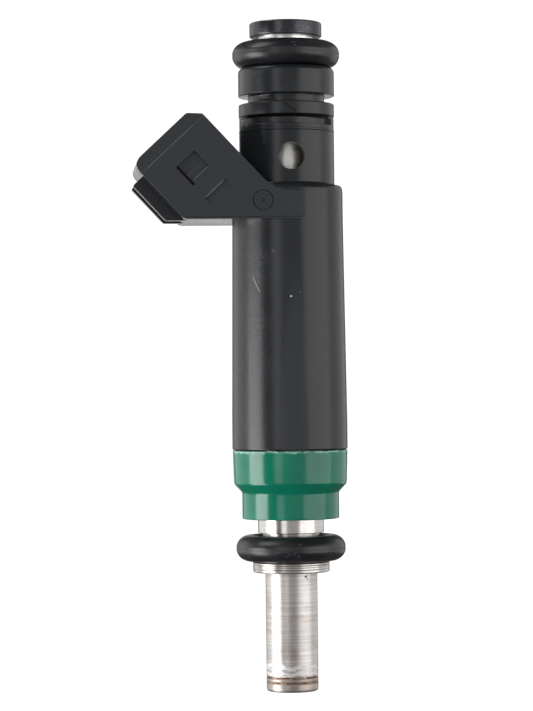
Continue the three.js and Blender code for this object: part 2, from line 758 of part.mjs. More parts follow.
function needleTube() {
  const top = zArmature + NEEDLE_ENTRY - SEAT_GAP;
  const tubeSolid = solid(tube(needleBore, NEEDLE_RADIUS, zNeedle, top, HOLE_SEGMENTS));
  const reach = 2 * NEEDLE_RADIUS;
  const port = crossPin(NEEDLE_PORT_RADIUS, zNeedle + NEEDLE_PORT_RISE, -reach, reach);
  return surface(carved(tubeSolid, port));
}

function valveBall() {
  return new THREE.SphereGeometry(BALL_RADIUS, FINE_SEGMENTS, BALL_ROWS)
    .rotateX(Math.PI / 2)
    .translate(0, 0, zBall);
}

// ---- Spring and adjusting tube ----

class Helix extends THREE.Curve {
  constructor(radius, bottom, top, turns) {
    super();
    this.radius = radius;
    this.bottom = bottom;
    this.height = top - bottom;
    this.turns = turns;
  }

  getPoint(t, target = new THREE.Vector3()) {
    const angle = 2 * Math.PI * this.turns * t;
    return target.set(
      this.radius * Math.cos(angle),
      this.radius * Math.sin(angle),
      this.bottom + this.height * t,
    );
  }
}

function returnSpring() {
  const clear = SPRING_WIRE + SEAT_GAP;
  const path = new Helix(SPRING_RADIUS, zPocket + clear, zSleeveTop - clear, SPRING_TURNS);
  const wire = new THREE.Shape();
  for (let i = 0; i < SPRING_SIDES; i += 1) {
    const angle = (2 * Math.PI * i) / SPRING_SIDES;
    const x = SPRING_WIRE * Math.cos(angle);
    const y = SPRING_WIRE * Math.sin(angle);
    if (i === 0) {
      wire.moveTo(x, y);
    } else {
      wire.lineTo(x, y);
    }
  }
  const steps = SPRING_TURNS * SPRING_STEPS_PER_TURN;
  return new THREE.ExtrudeGeometry(wire, { steps, extrudePath: path, curveSegments: 1 });
}

function adjustingTube() {
  const outer = coreBore * Math.cos(Math.PI / SEGMENTS) - FIT;
  const bottom = zSleeveTop + SEAT_GAP;
  return tube(ADJUSTER_BORE, outer, bottom, bottom + ADJUSTER_LENGTH, HOLE_SEGMENTS);
}

// ---- Assembly ----

const injector = new THREE.Group();
injector.name = 'fuel_injector';

function place(name, geometry, color, roughness, metalness) {
  const material = new THREE.MeshStandardMaterial({ color, roughness, metalness });
  const mesh = new THREE.Mesh(geometry, material);
  mesh.name = name;
  injector.add(mesh);
}

const BRIGHT_STEEL = [0xcfccc8, 0.3, 0.9];
const DARK_STEEL = [0x8f9094, 0.45, 0.85];
const BLACK_PLASTIC = [0x35363a, 0.45, 0.0];
const SEAL_RUBBER = [0x262729, 0.55, 0.0];

place('jacket', jacket(), ...BLACK_PLASTIC);
place('spacer_ring', spacerRing(), 0x1f7763, 0.3, 0.0);
const zUpperSeal = zCollarTop + SEAT_GAP + SEAL_SECTION / 2; // it rests on the collar
place('upper_o_ring', oRing(INLET_RADIUS, zUpperSeal), ...SEAL_RUBBER);
const zLowerSeal = (zFlangeTop + zStem) / 2 - LOWER_SEAL_DROP;
place('lower_o_ring', oRing(lowerGrooveRadius, zLowerSeal), ...SEAL_RUBBER);
place('inlet_cap', inletCap(), 0x4a484d, 0.5, 0.3);
place('inlet_tube', inletTube(), ...BRIGHT_STEEL);
place('filter_collar', filterCollar(), 0xb89a55, 0.35, 0.9);
place('filter_frame', filterFrame(), 0xd9d4c4, 0.6, 0.0);
place('filter_mesh', filterMesh(), 0xc4c0b0, 0.8, 0.0);
place('adjusting_tube', adjustingTube(), ...DARK_STEEL);
place('return_spring', returnSpring(), ...DARK_STEEL);
place('terminal_front', terminal(-1), 0xc9c4b4, 0.3, 0.9);
place('terminal_back', terminal(1), 0xc9c4b4, 0.3, 0.9);
place('flux_washer', fluxWasher(), ...DARK_STEEL);
place('magnet_can', magnetCan(), ...DARK_STEEL);
place('bobbin', bobbin(), 0x5b4a33, 0.5, 0.0);
place('winding', winding(), 0xa5562a, 0.35, 0.6);
place('magnetic_sleeve', magneticSleeve(), ...BRIGHT_STEEL);
place('armature', armature(), ...DARK_STEEL);
place('needle_tube', needleTube(), ...BRIGHT_STEEL);
place('valve_ball', valveBall(), ...BRIGHT_STEEL);
place('valve_body', valveBody(), ...BRIGHT_STEEL);
place('tip_flange', tipFlange(), ...BRIGHT_STEEL);
place('tip_tube', tipTube(), ...BRIGHT_STEEL);
place('ball_guide', ballGuide(), ...DARK_STEEL);
place('valve_seat', valveSeat(), ...DARK_STEEL);
place('orifice_plate', orificePlate(), ...BRIGHT_STEEL);

export default injector;
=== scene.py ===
"""Looks of a top-feed port fuel injector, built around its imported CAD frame.

The axis is Z with the spray face on z = 0. The electrical header leans out towards -X and
the front faces -Y. Sizes are millimetres until a mesh is made, and places come from the frame.
"""

import logging
import math
from dataclasses import dataclass
from enum import Enum
from functools import lru_cache
from typing import Callable, Mapping, Optional, Sequence, Union

import bmesh
import bpy
from mathutils import Matrix, Quaternion, Vector, noise


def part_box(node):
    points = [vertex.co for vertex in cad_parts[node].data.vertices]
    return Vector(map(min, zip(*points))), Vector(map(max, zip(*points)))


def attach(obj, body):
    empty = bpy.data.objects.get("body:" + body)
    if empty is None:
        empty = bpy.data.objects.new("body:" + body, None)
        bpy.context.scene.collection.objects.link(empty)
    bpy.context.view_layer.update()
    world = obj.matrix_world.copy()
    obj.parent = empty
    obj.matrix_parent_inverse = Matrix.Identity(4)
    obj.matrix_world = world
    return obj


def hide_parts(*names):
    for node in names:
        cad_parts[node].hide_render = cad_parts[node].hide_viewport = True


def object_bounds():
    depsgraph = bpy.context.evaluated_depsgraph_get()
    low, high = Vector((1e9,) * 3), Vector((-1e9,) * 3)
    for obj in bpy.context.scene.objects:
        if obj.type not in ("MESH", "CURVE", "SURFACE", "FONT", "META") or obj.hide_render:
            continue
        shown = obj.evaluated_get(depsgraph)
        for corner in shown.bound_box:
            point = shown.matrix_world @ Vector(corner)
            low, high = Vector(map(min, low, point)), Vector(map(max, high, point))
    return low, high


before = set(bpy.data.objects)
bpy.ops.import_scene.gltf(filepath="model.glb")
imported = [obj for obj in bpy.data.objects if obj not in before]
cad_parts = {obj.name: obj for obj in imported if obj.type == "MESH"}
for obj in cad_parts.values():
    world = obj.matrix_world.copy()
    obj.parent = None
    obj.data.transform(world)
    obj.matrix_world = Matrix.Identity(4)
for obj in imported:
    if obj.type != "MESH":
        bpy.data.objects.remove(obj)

CAD_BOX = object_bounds()
LOG = logging.getLogger("injector")

MM = 0.001
ON_AXIS = 1e-6
WELD = 1e-7
SMOOTH_ANGLE = math.radians(34)
FLATNESS = 90  # how strongly large faces keep their own shading
FACETS = 160  # round the large turned pieces
SMALL_FACETS = 96  # round the small inner ones
FIT = 0.03  # radial clearance of a pressed or seated piece
COPY_EDGE = 40.0  # degrees from which a copied piece's edge is rounded


# ---- Node boards ----


class Signal:
    """A number that varies over a surface, so that a mask is written as a sum."""

    def __init__(self, board: "Tree", socket: bpy.types.NodeSocket) -> None:
        """Wraps a number output of a tree."""
        self.board = board
        self.socket = socket

    def __add__(self, other: "Number") -> "Signal":
        """Adds."""
        return self.board.math("ADD", self, other)

    def __sub__(self, other: "Number") -> "Signal":
        """Takes away."""
        return self.board.math("SUBTRACT", self, other)

    def __rsub__(self, other: "Number") -> "Signal":
        """Is taken away from a number."""
        return self.board.math("SUBTRACT", other, self)

    def __mul__(self, other: "Number") -> "Signal":
        """Multiplies."""
        return self.board.math("MULTIPLY", self, other)

    def __abs__(self) -> "Signal":
        """Drops the sign."""
        return self.board.math("ABSOLUTE", self)

    __radd__ = __add__
    __rmul__ = __mul__

    def most(self, other: "Number") -> "Signal":
        """Keeps the greater of two numbers."""
        return self.board.math("MAXIMUM", self, other)

    def between(self, low: float, high: float) -> "Signal":
        """Runs smoothly from 0 at low to 1 at high.

        Args:
            low: where the result is 0; it may be the greater of the two.
            high: where the result is 1.

        Returns:
            The eased share, kept within 0 and 1.
        """
        node = self.board.add(
            "ShaderNodeMapRange",
            {"interpolation_type": "SMOOTHSTEP"},
            {"Value": self, "From Min": low, "From Max": high},
        )
        return Signal(self.board, node.outputs["Result"])


Number = Union[float, Signal]
Colour = tuple[float, float, float]
Pairs = tuple[tuple[float, float], ...]


def tone(red: int, green: int, blue: int) -> Colour:
    """Turns a screen colour of 0 to 255 into the linear one that shaders take."""
    shares = (channel / 255 for channel in (red, green, blue))
    return tuple(s / 12.92 if s < 0.04045 else ((s + 0.055) / 1.055) ** 2.4 for s in shares)


def darkened(colour: Colour, share: float) -> Colour:
    """Gives a colour with only a share of its light."""
    return tuple(channel * share for channel in colour)


class Tree:
    """A node tree, with short ways to add to it."""

    def __init__(self, tree: bpy.types.NodeTree) -> None:
        """Wraps the tree of a material or of a room."""
        self.tree = tree

    def add(
        self,
        kind: str,
        settings: Optional[Mapping[str, object]] = None,
        values: Optional[Mapping[Union[str, int], object]] = None,
    ) -> bpy.types.Node:
        """Adds one node.

        Args:
            kind: the node's type.
            settings: its own settings, which are set first.
            values: values or links for its input sockets, by name or number.

        Returns:
            The new node.
        """
        node = self.tree.nodes.new(kind)
        for key, setting in (settings or {}).items():
            setattr(node, key, setting)
        for key, value in (values or {}).items():
            self.feed(node.inputs[key], value)
        return node

    def feed(self, socket: bpy.types.NodeSocket, value: object) -> None:
        """Links a signal or a socket to an input, or sets the input's own value."""
        if isinstance(value, Signal):
            value = value.socket
        if isinstance(value, bpy.types.NodeSocket):
            self.tree.links.new(value, socket)
        elif socket.type == "RGBA":
            socket.default_value = (*value[:3], 1.0)
        else:
            socket.default_value = value

    def math(self, operation: str, *terms: Number) -> Signal:
        """Adds a Math node on its terms."""
        node = self.add("ShaderNodeMath", {"operation": operation}, dict(enumerate(terms)))
        return Signal(self, node.outputs[0])


class Board(Tree):
    """The nodes of one material, with masks, noises and marks in the piece's own millimetres."""

    def __init__(self, name: str) -> None:
        """Starts a material that has a principled shader only."""
        self.material = bpy.data.materials.new(name)
        self.material.use_nodes = True
        super().__init__(self.material.node_tree)
        self.shader = self.tree.nodes["Principled BSDF"]
        self.metres = self.add("ShaderNodeTexCoord").outputs["Object"]
        split = self.add("ShaderNodeSeparateXYZ", values={0: self.stretched((1, 1, 1))})
        self.x, self.y, self.z = (Signal(self, socket) for socket in split.outputs)

    def stretched(self, scale: Sequence[float]) -> bpy.types.NodeSocket:
        """Gives the place on the piece in millimetres, times a factor along each axis."""
        factors = tuple(s / MM for s in scale)
        node = self.add(
            "ShaderNodeVectorMath", {"operation": "MULTIPLY"}, {0: self.metres, 1: factors}
        )
        return node.outputs[0]

    def mottle(
        self, per_mm: float, detail: float = 2.0, stretch: Sequence[float] = (1, 1, 1), twist: float = 0.0
    ) -> Signal:
        """Makes soft noise.

        Args:
            per_mm: how many blotches there are in a millimetre.
            detail: how many finer layers are added.
            stretch: factors that draw the blotches out along an axis.
            twist: how far the blotches are distorted.

        Returns:
            A number from 0 to 1.
        """
        values = {"Vector": self.stretched(stretch), "Scale": per_mm, "Detail": detail, "Distortion": twist}
        return Signal(self, self.add("ShaderNodeTexNoise", None, values).outputs["Fac"])

    def cells(self, per_mm: float, edges: bool = False, stretch: Sequence[float] = (1, 1, 1)) -> Signal:
        """Makes scattered cells.

        Args:
            per_mm: how many cells there are in a millimetre.
            edges: measures from the cells' edges and not from their centres.
            stretch: factors that draw the cells out along an axis.

        Returns:
            The distance, in cells.
        """
        settings = {"feature": "DISTANCE_TO_EDGE" if edges else "F1"}
        values = {"Vector": self.stretched(stretch), "Scale": per_mm}
        return Signal(self, self.add("ShaderNodeTexVoronoi", settings, values).outputs["Distance"])

    def specks(self, per_mm: float, size: float, share: float) -> Signal:
        """Scatters small round specks.

        Args:
            per_mm: how close together specks may be.
            size: a speck's radius, in millimetres.
            share: how much of the surface is kept free, from 0 to 1.

        Returns:
            1 on a speck and 0 off it.
        """
        spot = self.cells(per_mm).between(size * per_mm, size * per_mm * 0.4)
        return spot * self.mottle(per_mm / 4, 1).between(share, share + 0.06)

    def scores(self, per_mm: float, width: float, stretch: Sequence[float], share: float) -> Signal:
        """Scatters thin scratches.

        Args:
            per_mm: how close together they lie.
            width: a scratch's width, in millimetres.
            stretch: factors that draw them out along an axis.
            share: how much of the surface is kept free, from 0 to 1.

        Returns:
            1 in a scratch and 0 off it.
        """
        line = self.cells(per_mm, edges=True, stretch=stretch).between(width * per_mm, 0.0)
        return line * self.mottle(per_mm * 0.7, 1).between(share, share + 0.08)

    def mark(
        self, x: float, z: float, length: float, width: float, lean: float, front: bool = True
    ) -> Signal:
        """Draws one straight scratch on the front or the back.

        Args:
            x: the middle of the scratch across the piece.
            z: its level.
            length: its length.
            width: its width.
            lean: its angle from level, in degrees.
            front: whether it is on the -Y side.

        Returns:
            1 in the scratch and 0 off it.
        """
        cos, sin = math.cos(math.radians(lean)), math.sin(math.radians(lean))
        along = (self.x - x) * cos + (self.z - z) * sin
        across = (self.z - z) * cos - (self.x - x) * sin
        ends = abs(along).between(length / 2, length / 2 * 0.7)
        side = self.y.between(0.0, -0.5) if front else self.y.between(0.0, 0.5)
        return abs(across).between(width / 2, width / 6) * ends * side

    def ring(self, level: float, width: float) -> Signal:
        """Gives 1 at a level, falling to 0 half a width above and below it."""
        return abs(self.z - level).between(width / 2, width / 8)

    def blend(self, share: Number, base: object, over: object) -> bpy.types.NodeSocket:
        """Lays one colour over another.

        Args:
            share: how much of the second colour shows.
            base: the first colour, or a link.
            over: the second colour, or a link.

        Returns:
            The mixed colour's socket.
        """
        node = self.add(
            "ShaderNodeMix",
            {"data_type": "RGBA", "clamp_factor": True},
            {"Factor": share, 6: base, 7: over},
        )
        return node.outputs[2]

    def layered(self, base: object, *layers: tuple[Number, object]) -> bpy.types.NodeSocket:
        """Lays colours over a base in order.

        Args:
            base: the lowest colour, or a link.
            layers: pairs of how much of a colour shows and the colour itself.

        Returns:
            The mixed colour's socket.
        """
        for share, over in layers:
            base = self.blend(share, base, over)
        return base

    def relief(self, *layers: tuple[Signal, float]) -> None:
        """Adds bumps to the shader's normal.

        Args:
            layers: pairs of a height from 0 to 1 and what 1 stands for, in millimetres.
        """
        height = sum((signal * depth for signal, depth in layers), 0.0)
        node = self.add("ShaderNodeBump", None, {"Height": height, "Distance": MM})
        self.feed(self.shader.inputs["Normal"], node.outputs["Normal"])

    def finish(self, **inputs: object) -> bpy.types.Material:
        """Feeds the shader's own sockets, named with _ for spaces, and gives the material."""
        for key, value in inputs.items():
            self.feed(self.shader.inputs[key.replace("_", " ")], value)
        return self.material


# ---- Finishes ----


class Finish:
    """Something that a piece can be dressed in."""

    def material(self, name: str) -> bpy.types.Material:
        """Makes the material under a name."""
        raise NotImplementedError


@dataclass(frozen=True)
class JacketNylon(Finish):
    """Glass-filled black nylon: polished where it is round, sparked on the header's flat sides."""

    colour: Colour = tone(31, 33, 36)
    worn: Colour = tone(38, 40, 43)
    flat_colour: Colour = tone(48, 50, 54)
    dust: Colour = tone(110, 110, 108)
    # pale nylon of the scratches and chips, also the colour of the painted highlights along the flats'
    # steps
    pale_scratch_and_highlight: Colour = tone(205, 203, 200)
    # painted shade in the clip's slit and in the collar's scar cut
    painted_shade: Colour = tone(7, 7, 8)
    slit_level: float = 77.0
    slit_radius: float = 6.0
    # steps in the flat sides that get a painted highlight: x, z, length and strength; the lean below is
    # their angle
    paled: tuple[tuple[float, float, float, float], ...] = ()
    painted_highlight_lean: float = 43.0
    roughness: float = 0.26
    flat_roughness: float = 0.55
    specular: float = 0.40
    grain: float = 0.010
    flat_side: float = 7.6
    pocket_side: float = 6.6

    def marks(self, board: Board) -> Signal:
        """Gathers the scattered scratches and specks."""
        scuffs = board.scores(0.30, 0.05, (1.0, 1.0, 0.35), 0.66) * 0.35
        cross = board.scores(0.42, 0.04, (0.5, 0.5, 1.4), 0.68) * 0.25
        specks = board.specks(0.9, 0.06, 0.60) * 0.6
        return scuffs.most(cross).most(specks)

    def pale_marks(self, board: Board) -> Signal:
        """Draws the jacket's own long scratch and its chips, where the nylon shows pale."""
        drag = board.mark(-4.8, 54.5, 2.6, 0.15, -68) * 0.35
        chip = board.mark(-0.35, 52.9, 0.30, 0.34, 0)
        pick = board.mark(0.9, 53.4, 0.22, 0.12, 40) * 0.4
        hook = board.mark(-2.6, 58.9, 0.7, 0.09, -55) * 0.25
        return drag.most(chip).most(pick).most(hook)

    def dark(self, board: Board) -> Signal:
        """Gathers the painted shade inside the clip's slit and in the scar cut across the collar, down to
        its lower end.
        """
        rim = self.slit_radius**2
        inside = (board.x * board.x + board.y * board.y).between(rim, rim - 2)
        slit = inside * abs(board.z - self.slit_level).between(0.32, 0.22)
        cut = board.mark(-0.45, 78.15, 1.5, 0.17, -48)
        nub = board.mark(0.45, 77.6, 0.7, 0.2, -12)
        return slit.most(cut * 0.9).most(nub)

    def material(self, name: str) -> bpy.types.Material:
        """Mixes grain, flow lines, the sparked flats, scuffs and dust, with painted highlights along the
        flats' steps and painted shade in the slit and the collar's cut.
        """
        board = Board(name)
        marks = self.marks(board)
        broad = board.mottle(0.16, 4, twist=0.4)
        fine = board.mottle(3.2, 3)
        sparkle = board.mottle(9.0, 1)
        flow = board.mottle(0.9, 3, (0.5, 0.5, 1.6))
        spark = board.mottle(6.0, 3)
        pale_marks = self.pale_marks(board)
        flat = abs(board.y).between(self.flat_side - 0.1, self.flat_side + 0.06)
        sunk = abs(board.y).between(self.pocket_side, self.pocket_side + 0.2)
        flat = flat.most(sunk * board.x.between(-6.5, -7.0))
        dark = self.dark(board)
        # painted highlights: pale lines drawn along the steps of the header's flat sides, front and back
        for x, z, length, share in self.paled:
            for front in (True, False):
                edge = board.mark(x, z, length, 0.15, self.painted_highlight_lean, front) * flat
                pale_marks = pale_marks.most(edge * share)
        colour = board.layered(
            self.colour,
            (broad.between(0.35, 0.72), self.worn),
            (flat * (0.75 + spark * 0.4), self.flat_colour),
            (marks * 0.30, self.dust),
            (pale_marks, self.pale_scratch_and_highlight),
            (dark, self.painted_shade),
        )
        polish = self.roughness + (broad - 0.5) * 0.10 + (fine - 0.5) * 0.08 + marks * 0.12
        roughness = polish + flat * (self.flat_roughness - self.roughness) + dark * 0.6
        board.relief(
            (fine, self.grain),
            (sparkle, self.grain * 0.3),
            (flow, self.grain),
            (spark * flat, 0.011),
            (marks, -0.004),
        )
        return board.finish(Base_Color=colour, Roughness=roughness, Specular_IOR_Level=self.specular)


@dataclass(frozen=True)
class GlossyNylon(Finish):
    """Smooth coloured nylon from a polished mould, with flash along its parting edge."""

    colour: Colour = tone(0, 122, 94)
    pale: Colour = tone(150, 205, 185)
    roughness: float = 0.12
    flash_level: float = 32.4
    witness_level: float = 29.3

    def material(self, name: str) -> bpy.types.Material:
        """Mixes the body colour, the flash edge, the witness line and fine peel."""
        board = Board(name)
        cloud = board.mottle(0.22, 3, twist=0.5)
        peel = board.mottle(1.6, 3)
        fine = board.mottle(6.0, 2)
        ragged = board.mottle(1.1, 4) * 0.9
        broken = board.mottle(0.8, 3).between(0.36, 0.52)
        flash = (board.z - self.flash_level + ragged).between(0.12, 0.26) * broken
        wander = (board.mottle(0.35, 2) - 0.5) * 0.5
        witness = abs(board.z - self.witness_level + wander).between(0.10, 0.02)
        scratches = board.scores(0.5, 0.05, (0.8, 0.8, 1.0), 0.66) * 0.5
        pits = board.specks(1.0, 0.07, 0.60)
        colour = board.layered(
            self.colour,
            (cloud.between(0.3, 0.7), darkened(self.colour, 0.82)),
            (flash * 0.75, self.pale),
            (pits.most(scratches) * 0.35, self.pale),
        )
        roughness = self.roughness + cloud * 0.05 + flash * 0.25 + scratches * 0.2 + fine * 0.05
        board.relief(
            (peel, 0.004),
            (fine, 0.0008),
            (witness, -0.006),
            (scratches, -0.004),
            (flash * ragged, 0.03),
        )
        return board.finish(Base_Color=colour, Roughness=roughness, Specular_IOR_Level=0.5)


@dataclass(frozen=True)
class SealRubber(Finish):
    """Black seal rubber with a parting line, bloom and small cuts."""

    level: float
    colour: Colour = tone(24, 25, 28)
    bloom: Colour = tone(92, 94, 96)
    shade: Colour = tone(5, 5, 6)
    marks: tuple[tuple[float, float, float, float, float], ...] = ()

    def material(self, name: str) -> bpy.types.Material:
        """Mixes bloom, lint, drag lines and the ring's own cuts."""
        board = Board(name)
        cloud = board.mottle(0.28, 4, twist=0.8)
        fine = board.mottle(5.0, 3)
        drag = board.mottle(0.9, 3, (0.3, 0.3, 4.0))
        lint = board.specks(0.9, 0.08, 0.58)
        cuts = lint
        for x, rise, length, width, lean in self.marks:
            cuts = cuts.most(board.mark(x, self.level + rise, length, width, lean))
        parting = board.ring(self.level, 0.16)
        colour = board.layered(
            self.colour,
            (cloud.between(0.42, 0.8) * 0.22, self.bloom),
            (cuts * 0.8, self.bloom),
            (parting * abs(board.x).between(4.8, 6.0) * 0.8, self.shade),
        )
        roughness = 0.27 + cloud * 0.10 + drag * 0.06 + cuts * 0.1 + parting * 0.1
        board.relief((fine, 0.002), (drag, 0.006), (cuts, -0.010), (cloud, 0.015))
        return board.finish(Base_Color=colour, Roughness=roughness, Specular_IOR_Level=0.50)


@dataclass(frozen=True)
class TurnedSteel(Finish):
    """Stainless steel with the fine rings of turning, and rust where it was handled."""

    colour: Colour = (0.665, 0.635, 0.61)
    stain: Colour = tone(148, 118, 96)
    rust: Colour = tone(92, 52, 30)
    polished: Colour = (0.95, 0.94, 0.93)
    roughness: float = 0.27
    rings: float = 0.0016
    weld_levels: tuple[float, ...] = ()
    rubbed_levels: tuple[float, ...] = ()
    rust_share: float = 0.62
    contrast: float = 0.6
    anisotropy: float = 0.5
    spots: tuple[tuple[float, float, float], ...] = ()

    def material(self, name: str) -> bpy.types.Material:
        """Mixes turning rings, stains, rust specks, weld colour and rubbed bands."""
        board = Board(name)
        coarse = board.mottle(1.0, 3, (0.04, 0.04, 3.2))
        fine = board.mottle(1.0, 2, (0.10, 0.10, 8.0))
        cloud = board.mottle(0.35, 4, twist=0.6)
        drag = board.mottle(1.0, 3, (1.6, 1.6, 0.12))
        rust = board.specks(0.75, 0.13, self.rust_share)
        for x, z, size in self.spots:
            rust = rust.most(board.mark(x, z, size, size, 20))
        weld: Number = 0.0
        soot: Number = 0.0
        for level in self.weld_levels:
            ragged = level + (board.mottle(1.8, 3) - 0.5) * 0.30
            near = abs(board.z - ragged)
            soot = near.between(0.12, 0.02).most(soot)
            weld = near.between(0.55, 0.05).most(weld)
        paled: Number = 0.0
        for level in self.rubbed_levels:
            ragged = level + (board.mottle(0.7, 3) - 0.5) * 1.4
            patch = board.mottle(1.4, 3, (0.6, 0.6, 2.5)).between(0.38, 0.48)
            paled = (abs(board.z - ragged).between(0.40, 0.20) * patch).most(paled)
        lines = (coarse * 0.35 + fine * 0.65).between(0.42, 0.60)
        layers = [
            (lines * self.contrast, darkened(self.colour, 0.62)),
            (cloud.between(0.48, 0.80) * 0.40, self.stain),
        ]
        if self.weld_levels:
            heat = (board.z + (cloud - 0.5) * 1.2).between(3.2, 1.6)
            burnt = soot * board.mottle(1.3, 2).between(0.35, 0.6)
            layers += [(heat * 0.38, self.stain), (weld * 0.35, self.stain), (burnt, self.rust)]
        if self.rubbed_levels:
            layers.append((paled * 0.9, self.polished))
        colour = board.layered(self.colour, *layers, (rust, self.rust))
        roughness = self.roughness + fine * 0.10 + drag * 0.08 + rust * 0.4 + weld * 0.12 + paled * 0.25
        board.relief((coarse, self.rings * 2), (fine, self.rings), (rust, 0.01), (soot * 1.0, -0.02))
        return board.finish(
            Base_Color=colour,
            Roughness=roughness,
            Metallic=1.0 - rust * 0.9,
            Anisotropic=self.anisotropy,
            Anisotropic_Rotation=0.25,
        )


@dataclass(frozen=True)
class CapFinish(Finish):
    """Dark plated steel with a sparkling grain, rubbed along its edges."""

    bottom: float
    top: float
    colour: Colour = tone(66, 65, 70)
    bright: Colour = tone(150, 148, 152)

    def material(self, name: str) -> bpy.types.Material:
        """Mixes plating grain, drag lines and rubbed edges."""
        board = Board(name)
        grain = board.mottle(6.0, 3)
        cloud = board.mottle(0.7, 4, twist=0.6)
        lines = board.mottle(1.0, 2, (0.25, 0.25, 7.0))
        ragged = (board.mottle(1.4, 3) - 0.5) * 0.25
        low = (board.z - self.bottom + ragged).between(0.22, 0.02)
        high = (self.top - board.z + ragged).between(0.22, 0.02)
        paled = low.most(high)
        nicks = board.specks(1.3, 0.06, 0.58)
        colour = board.layered(
            self.colour,
            (cloud.between(0.4, 0.75) * 0.5, darkened(self.colour, 0.6)),
            (grain.between(0.55, 0.72) * 0.35, self.bright),
            (paled * 0.35, self.bright),
            (nicks * 0.5, self.bright),
        )
        roughness = 0.18 + cloud * 0.10 + grain * 0.08 + paled * 0.08
        board.relief((grain, 0.0018), (lines, 0.002), (nicks, -0.006))
        return board.finish(Base_Color=colour, Roughness=roughness, Metallic=0.9)


@dataclass(frozen=True)
class PlainMetal(Finish):
    """A metal with its own colour, worn lines and stains, for pressings and inner parts."""

    colour: Colour
    stain: Colour
    roughness: float = 0.34
    lines: tuple[float, float, float] = (0.2, 0.2, 6.0)
    tarnish: float = 0.4

    def material(self, name: str) -> bpy.types.Material:
        """Mixes tool lines, tarnish and handling specks."""
        board = Board(name)
        tool = board.mottle(1.2, 3, self.lines)
        cloud = board.mottle(0.5, 4, twist=0.7)
        fine = board.mottle(7.0, 2)
        nicks = board.specks(1.0, 0.08, 0.60)
        shares = (cloud.between(0.45, 0.80) * self.tarnish, tool.between(0.5, 0.75) * 0.25, nicks * 0.6)
        colour = board.layered(self.colour, *((share, self.stain) for share in shares))
        roughness = self.roughness + cloud * 0.14 + fine * 0.06 + nicks * 0.2
        board.relief((tool, 0.003), (fine, 0.0012), (nicks, -0.005))
        return board.finish(Base_Color=colour, Roughness=roughness, Metallic=1.0)


@dataclass(frozen=True)
class Enamelled(Finish):
    """Enamelled copper wire, with each turn a little different."""

    colour: Colour = tone(168, 84, 40)
    dark: Colour = tone(98, 40, 18)

    def material(self, name: str) -> bpy.types.Material:
        """Mixes turns of wire, enamel gloss and a darker varnish."""
        board = Board(name)
        turns = board.mottle(1.0, 2, (0.05, 0.05, 3.0))
        varnish = board.mottle(0.4, 4, twist=0.5)
        shares = (turns.between(0.35, 0.7), varnish.between(0.55, 0.8) * 0.5)
        colour = board.layered(self.colour, *((share, self.dark) for share in shares))
        board.relief((turns, 0.01), (varnish, 0.01))
        return board.finish(
            Base_Color=colour, Roughness=0.22 + varnish * 0.12, Metallic=0.75, Coat_Weight=varnish * 0.6
        )


@dataclass(frozen=True)
class NaturalNylon(Finish):
    """Undyed or tinted nylon with a faint flow pattern, for inner mouldings."""

    colour: Colour = tone(214, 206, 184)
    roughness: float = 0.40

    def material(self, name: str) -> bpy.types.Material:
        """Mixes flow lines, yellowing and fine grain."""
        board = Board(name)
        flow = board.mottle(0.8, 3, (1.0, 1.0, 0.25), 0.6)
        fine = board.mottle(6.0, 2)
        dull = board.specks(1.1, 0.09, 0.60)
        aged = tuple(c * factor for c, factor in zip(self.colour, (0.78, 0.70, 0.55)))
        colour = board.layered(self.colour, (flow.between(0.4, 0.75) * 0.6, aged), (dull * 0.5, aged))
        board.relief((flow, 0.006), (fine, 0.002), (dull, -0.004))
        return board.finish(Base_Color=colour, Roughness=self.roughness + fine * 0.12 + dull * 0.2)


class Metal(Enum):
    """The plain metals, each as its finish."""

    BRASS = PlainMetal(tone(198, 168, 98), tone(120, 88, 44), 0.28)
    TINNED = PlainMetal(tone(206, 202, 190), tone(132, 126, 112), 0.26, (3.0, 3.0, 3.0))
    MAGNET_STEEL = PlainMetal(tone(150, 150, 152), tone(84, 78, 74), 0.38)
    SPRING_STEEL = PlainMetal(tone(128, 124, 120), tone(70, 58, 48), 0.30, (2.0, 2.0, 2.0), 0.3)
    GROUND_STEEL = PlainMetal(tone(204, 203, 202), tone(150, 144, 138), 0.20, (0.1, 0.1, 9.0), 0.25)
    LAPPED_STEEL = PlainMetal(tone(222, 222, 224), tone(178, 176, 174), 0.08, (1.0, 1.0, 1.0), 0.15)


# ---- Measures from the frame ----


@dataclass(frozen=True)
class Span:
    """How far a CAD node reaches: its outer radius and its two levels."""

    radius: float
    bottom: float
    top: float

    @classmethod
    @lru_cache(maxsize=None)
    def of(cls, node: str) -> "Span":
        """Measures a node that is centred on the axis, once."""
        low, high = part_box(node)
        return cls(high.x / MM, low.z / MM, high.z / MM)

    @property
    def height(self) -> float:
        """The distance between its levels."""
        return self.top - self.bottom


@dataclass(frozen=True)
class Corner:
    """One corner of an outline, and how far its edge is rounded."""

    r: float
    z: float
    round: float = 0.0

    @property
    def at(self) -> Vector:
        """The corner as a flat point."""
        return Vector((self.r, self.z))


def rounded(corners: Sequence[Corner], steps: int = 5) -> list[Vector]:
    """Replaces each rounded corner of a closed outline by a short curve.

    Args:
        corners: the outline's corners in order.
        steps: how many chords a curve has.

    Returns:
        The outline's points.
    """
    points: list[Vector] = []
    for index, corner in enumerate(corners):
        here = corner.at
        if corner.round <= 0:
            points.append(here)
            continue
        before = corners[index - 1].at - here
        after = corners[(index + 1) % len(corners)].at - here
        start = here + before.normalized() * min(corner.round, before.length * 0.48)
        end = here + after.normalized() * min(corner.round, after.length * 0.48)
        for step in range(steps + 1):
            t = step / steps
            points.append(start * (1 - t) ** 2 + here * (2 * t * (1 - t)) + end * t**2)
    return points


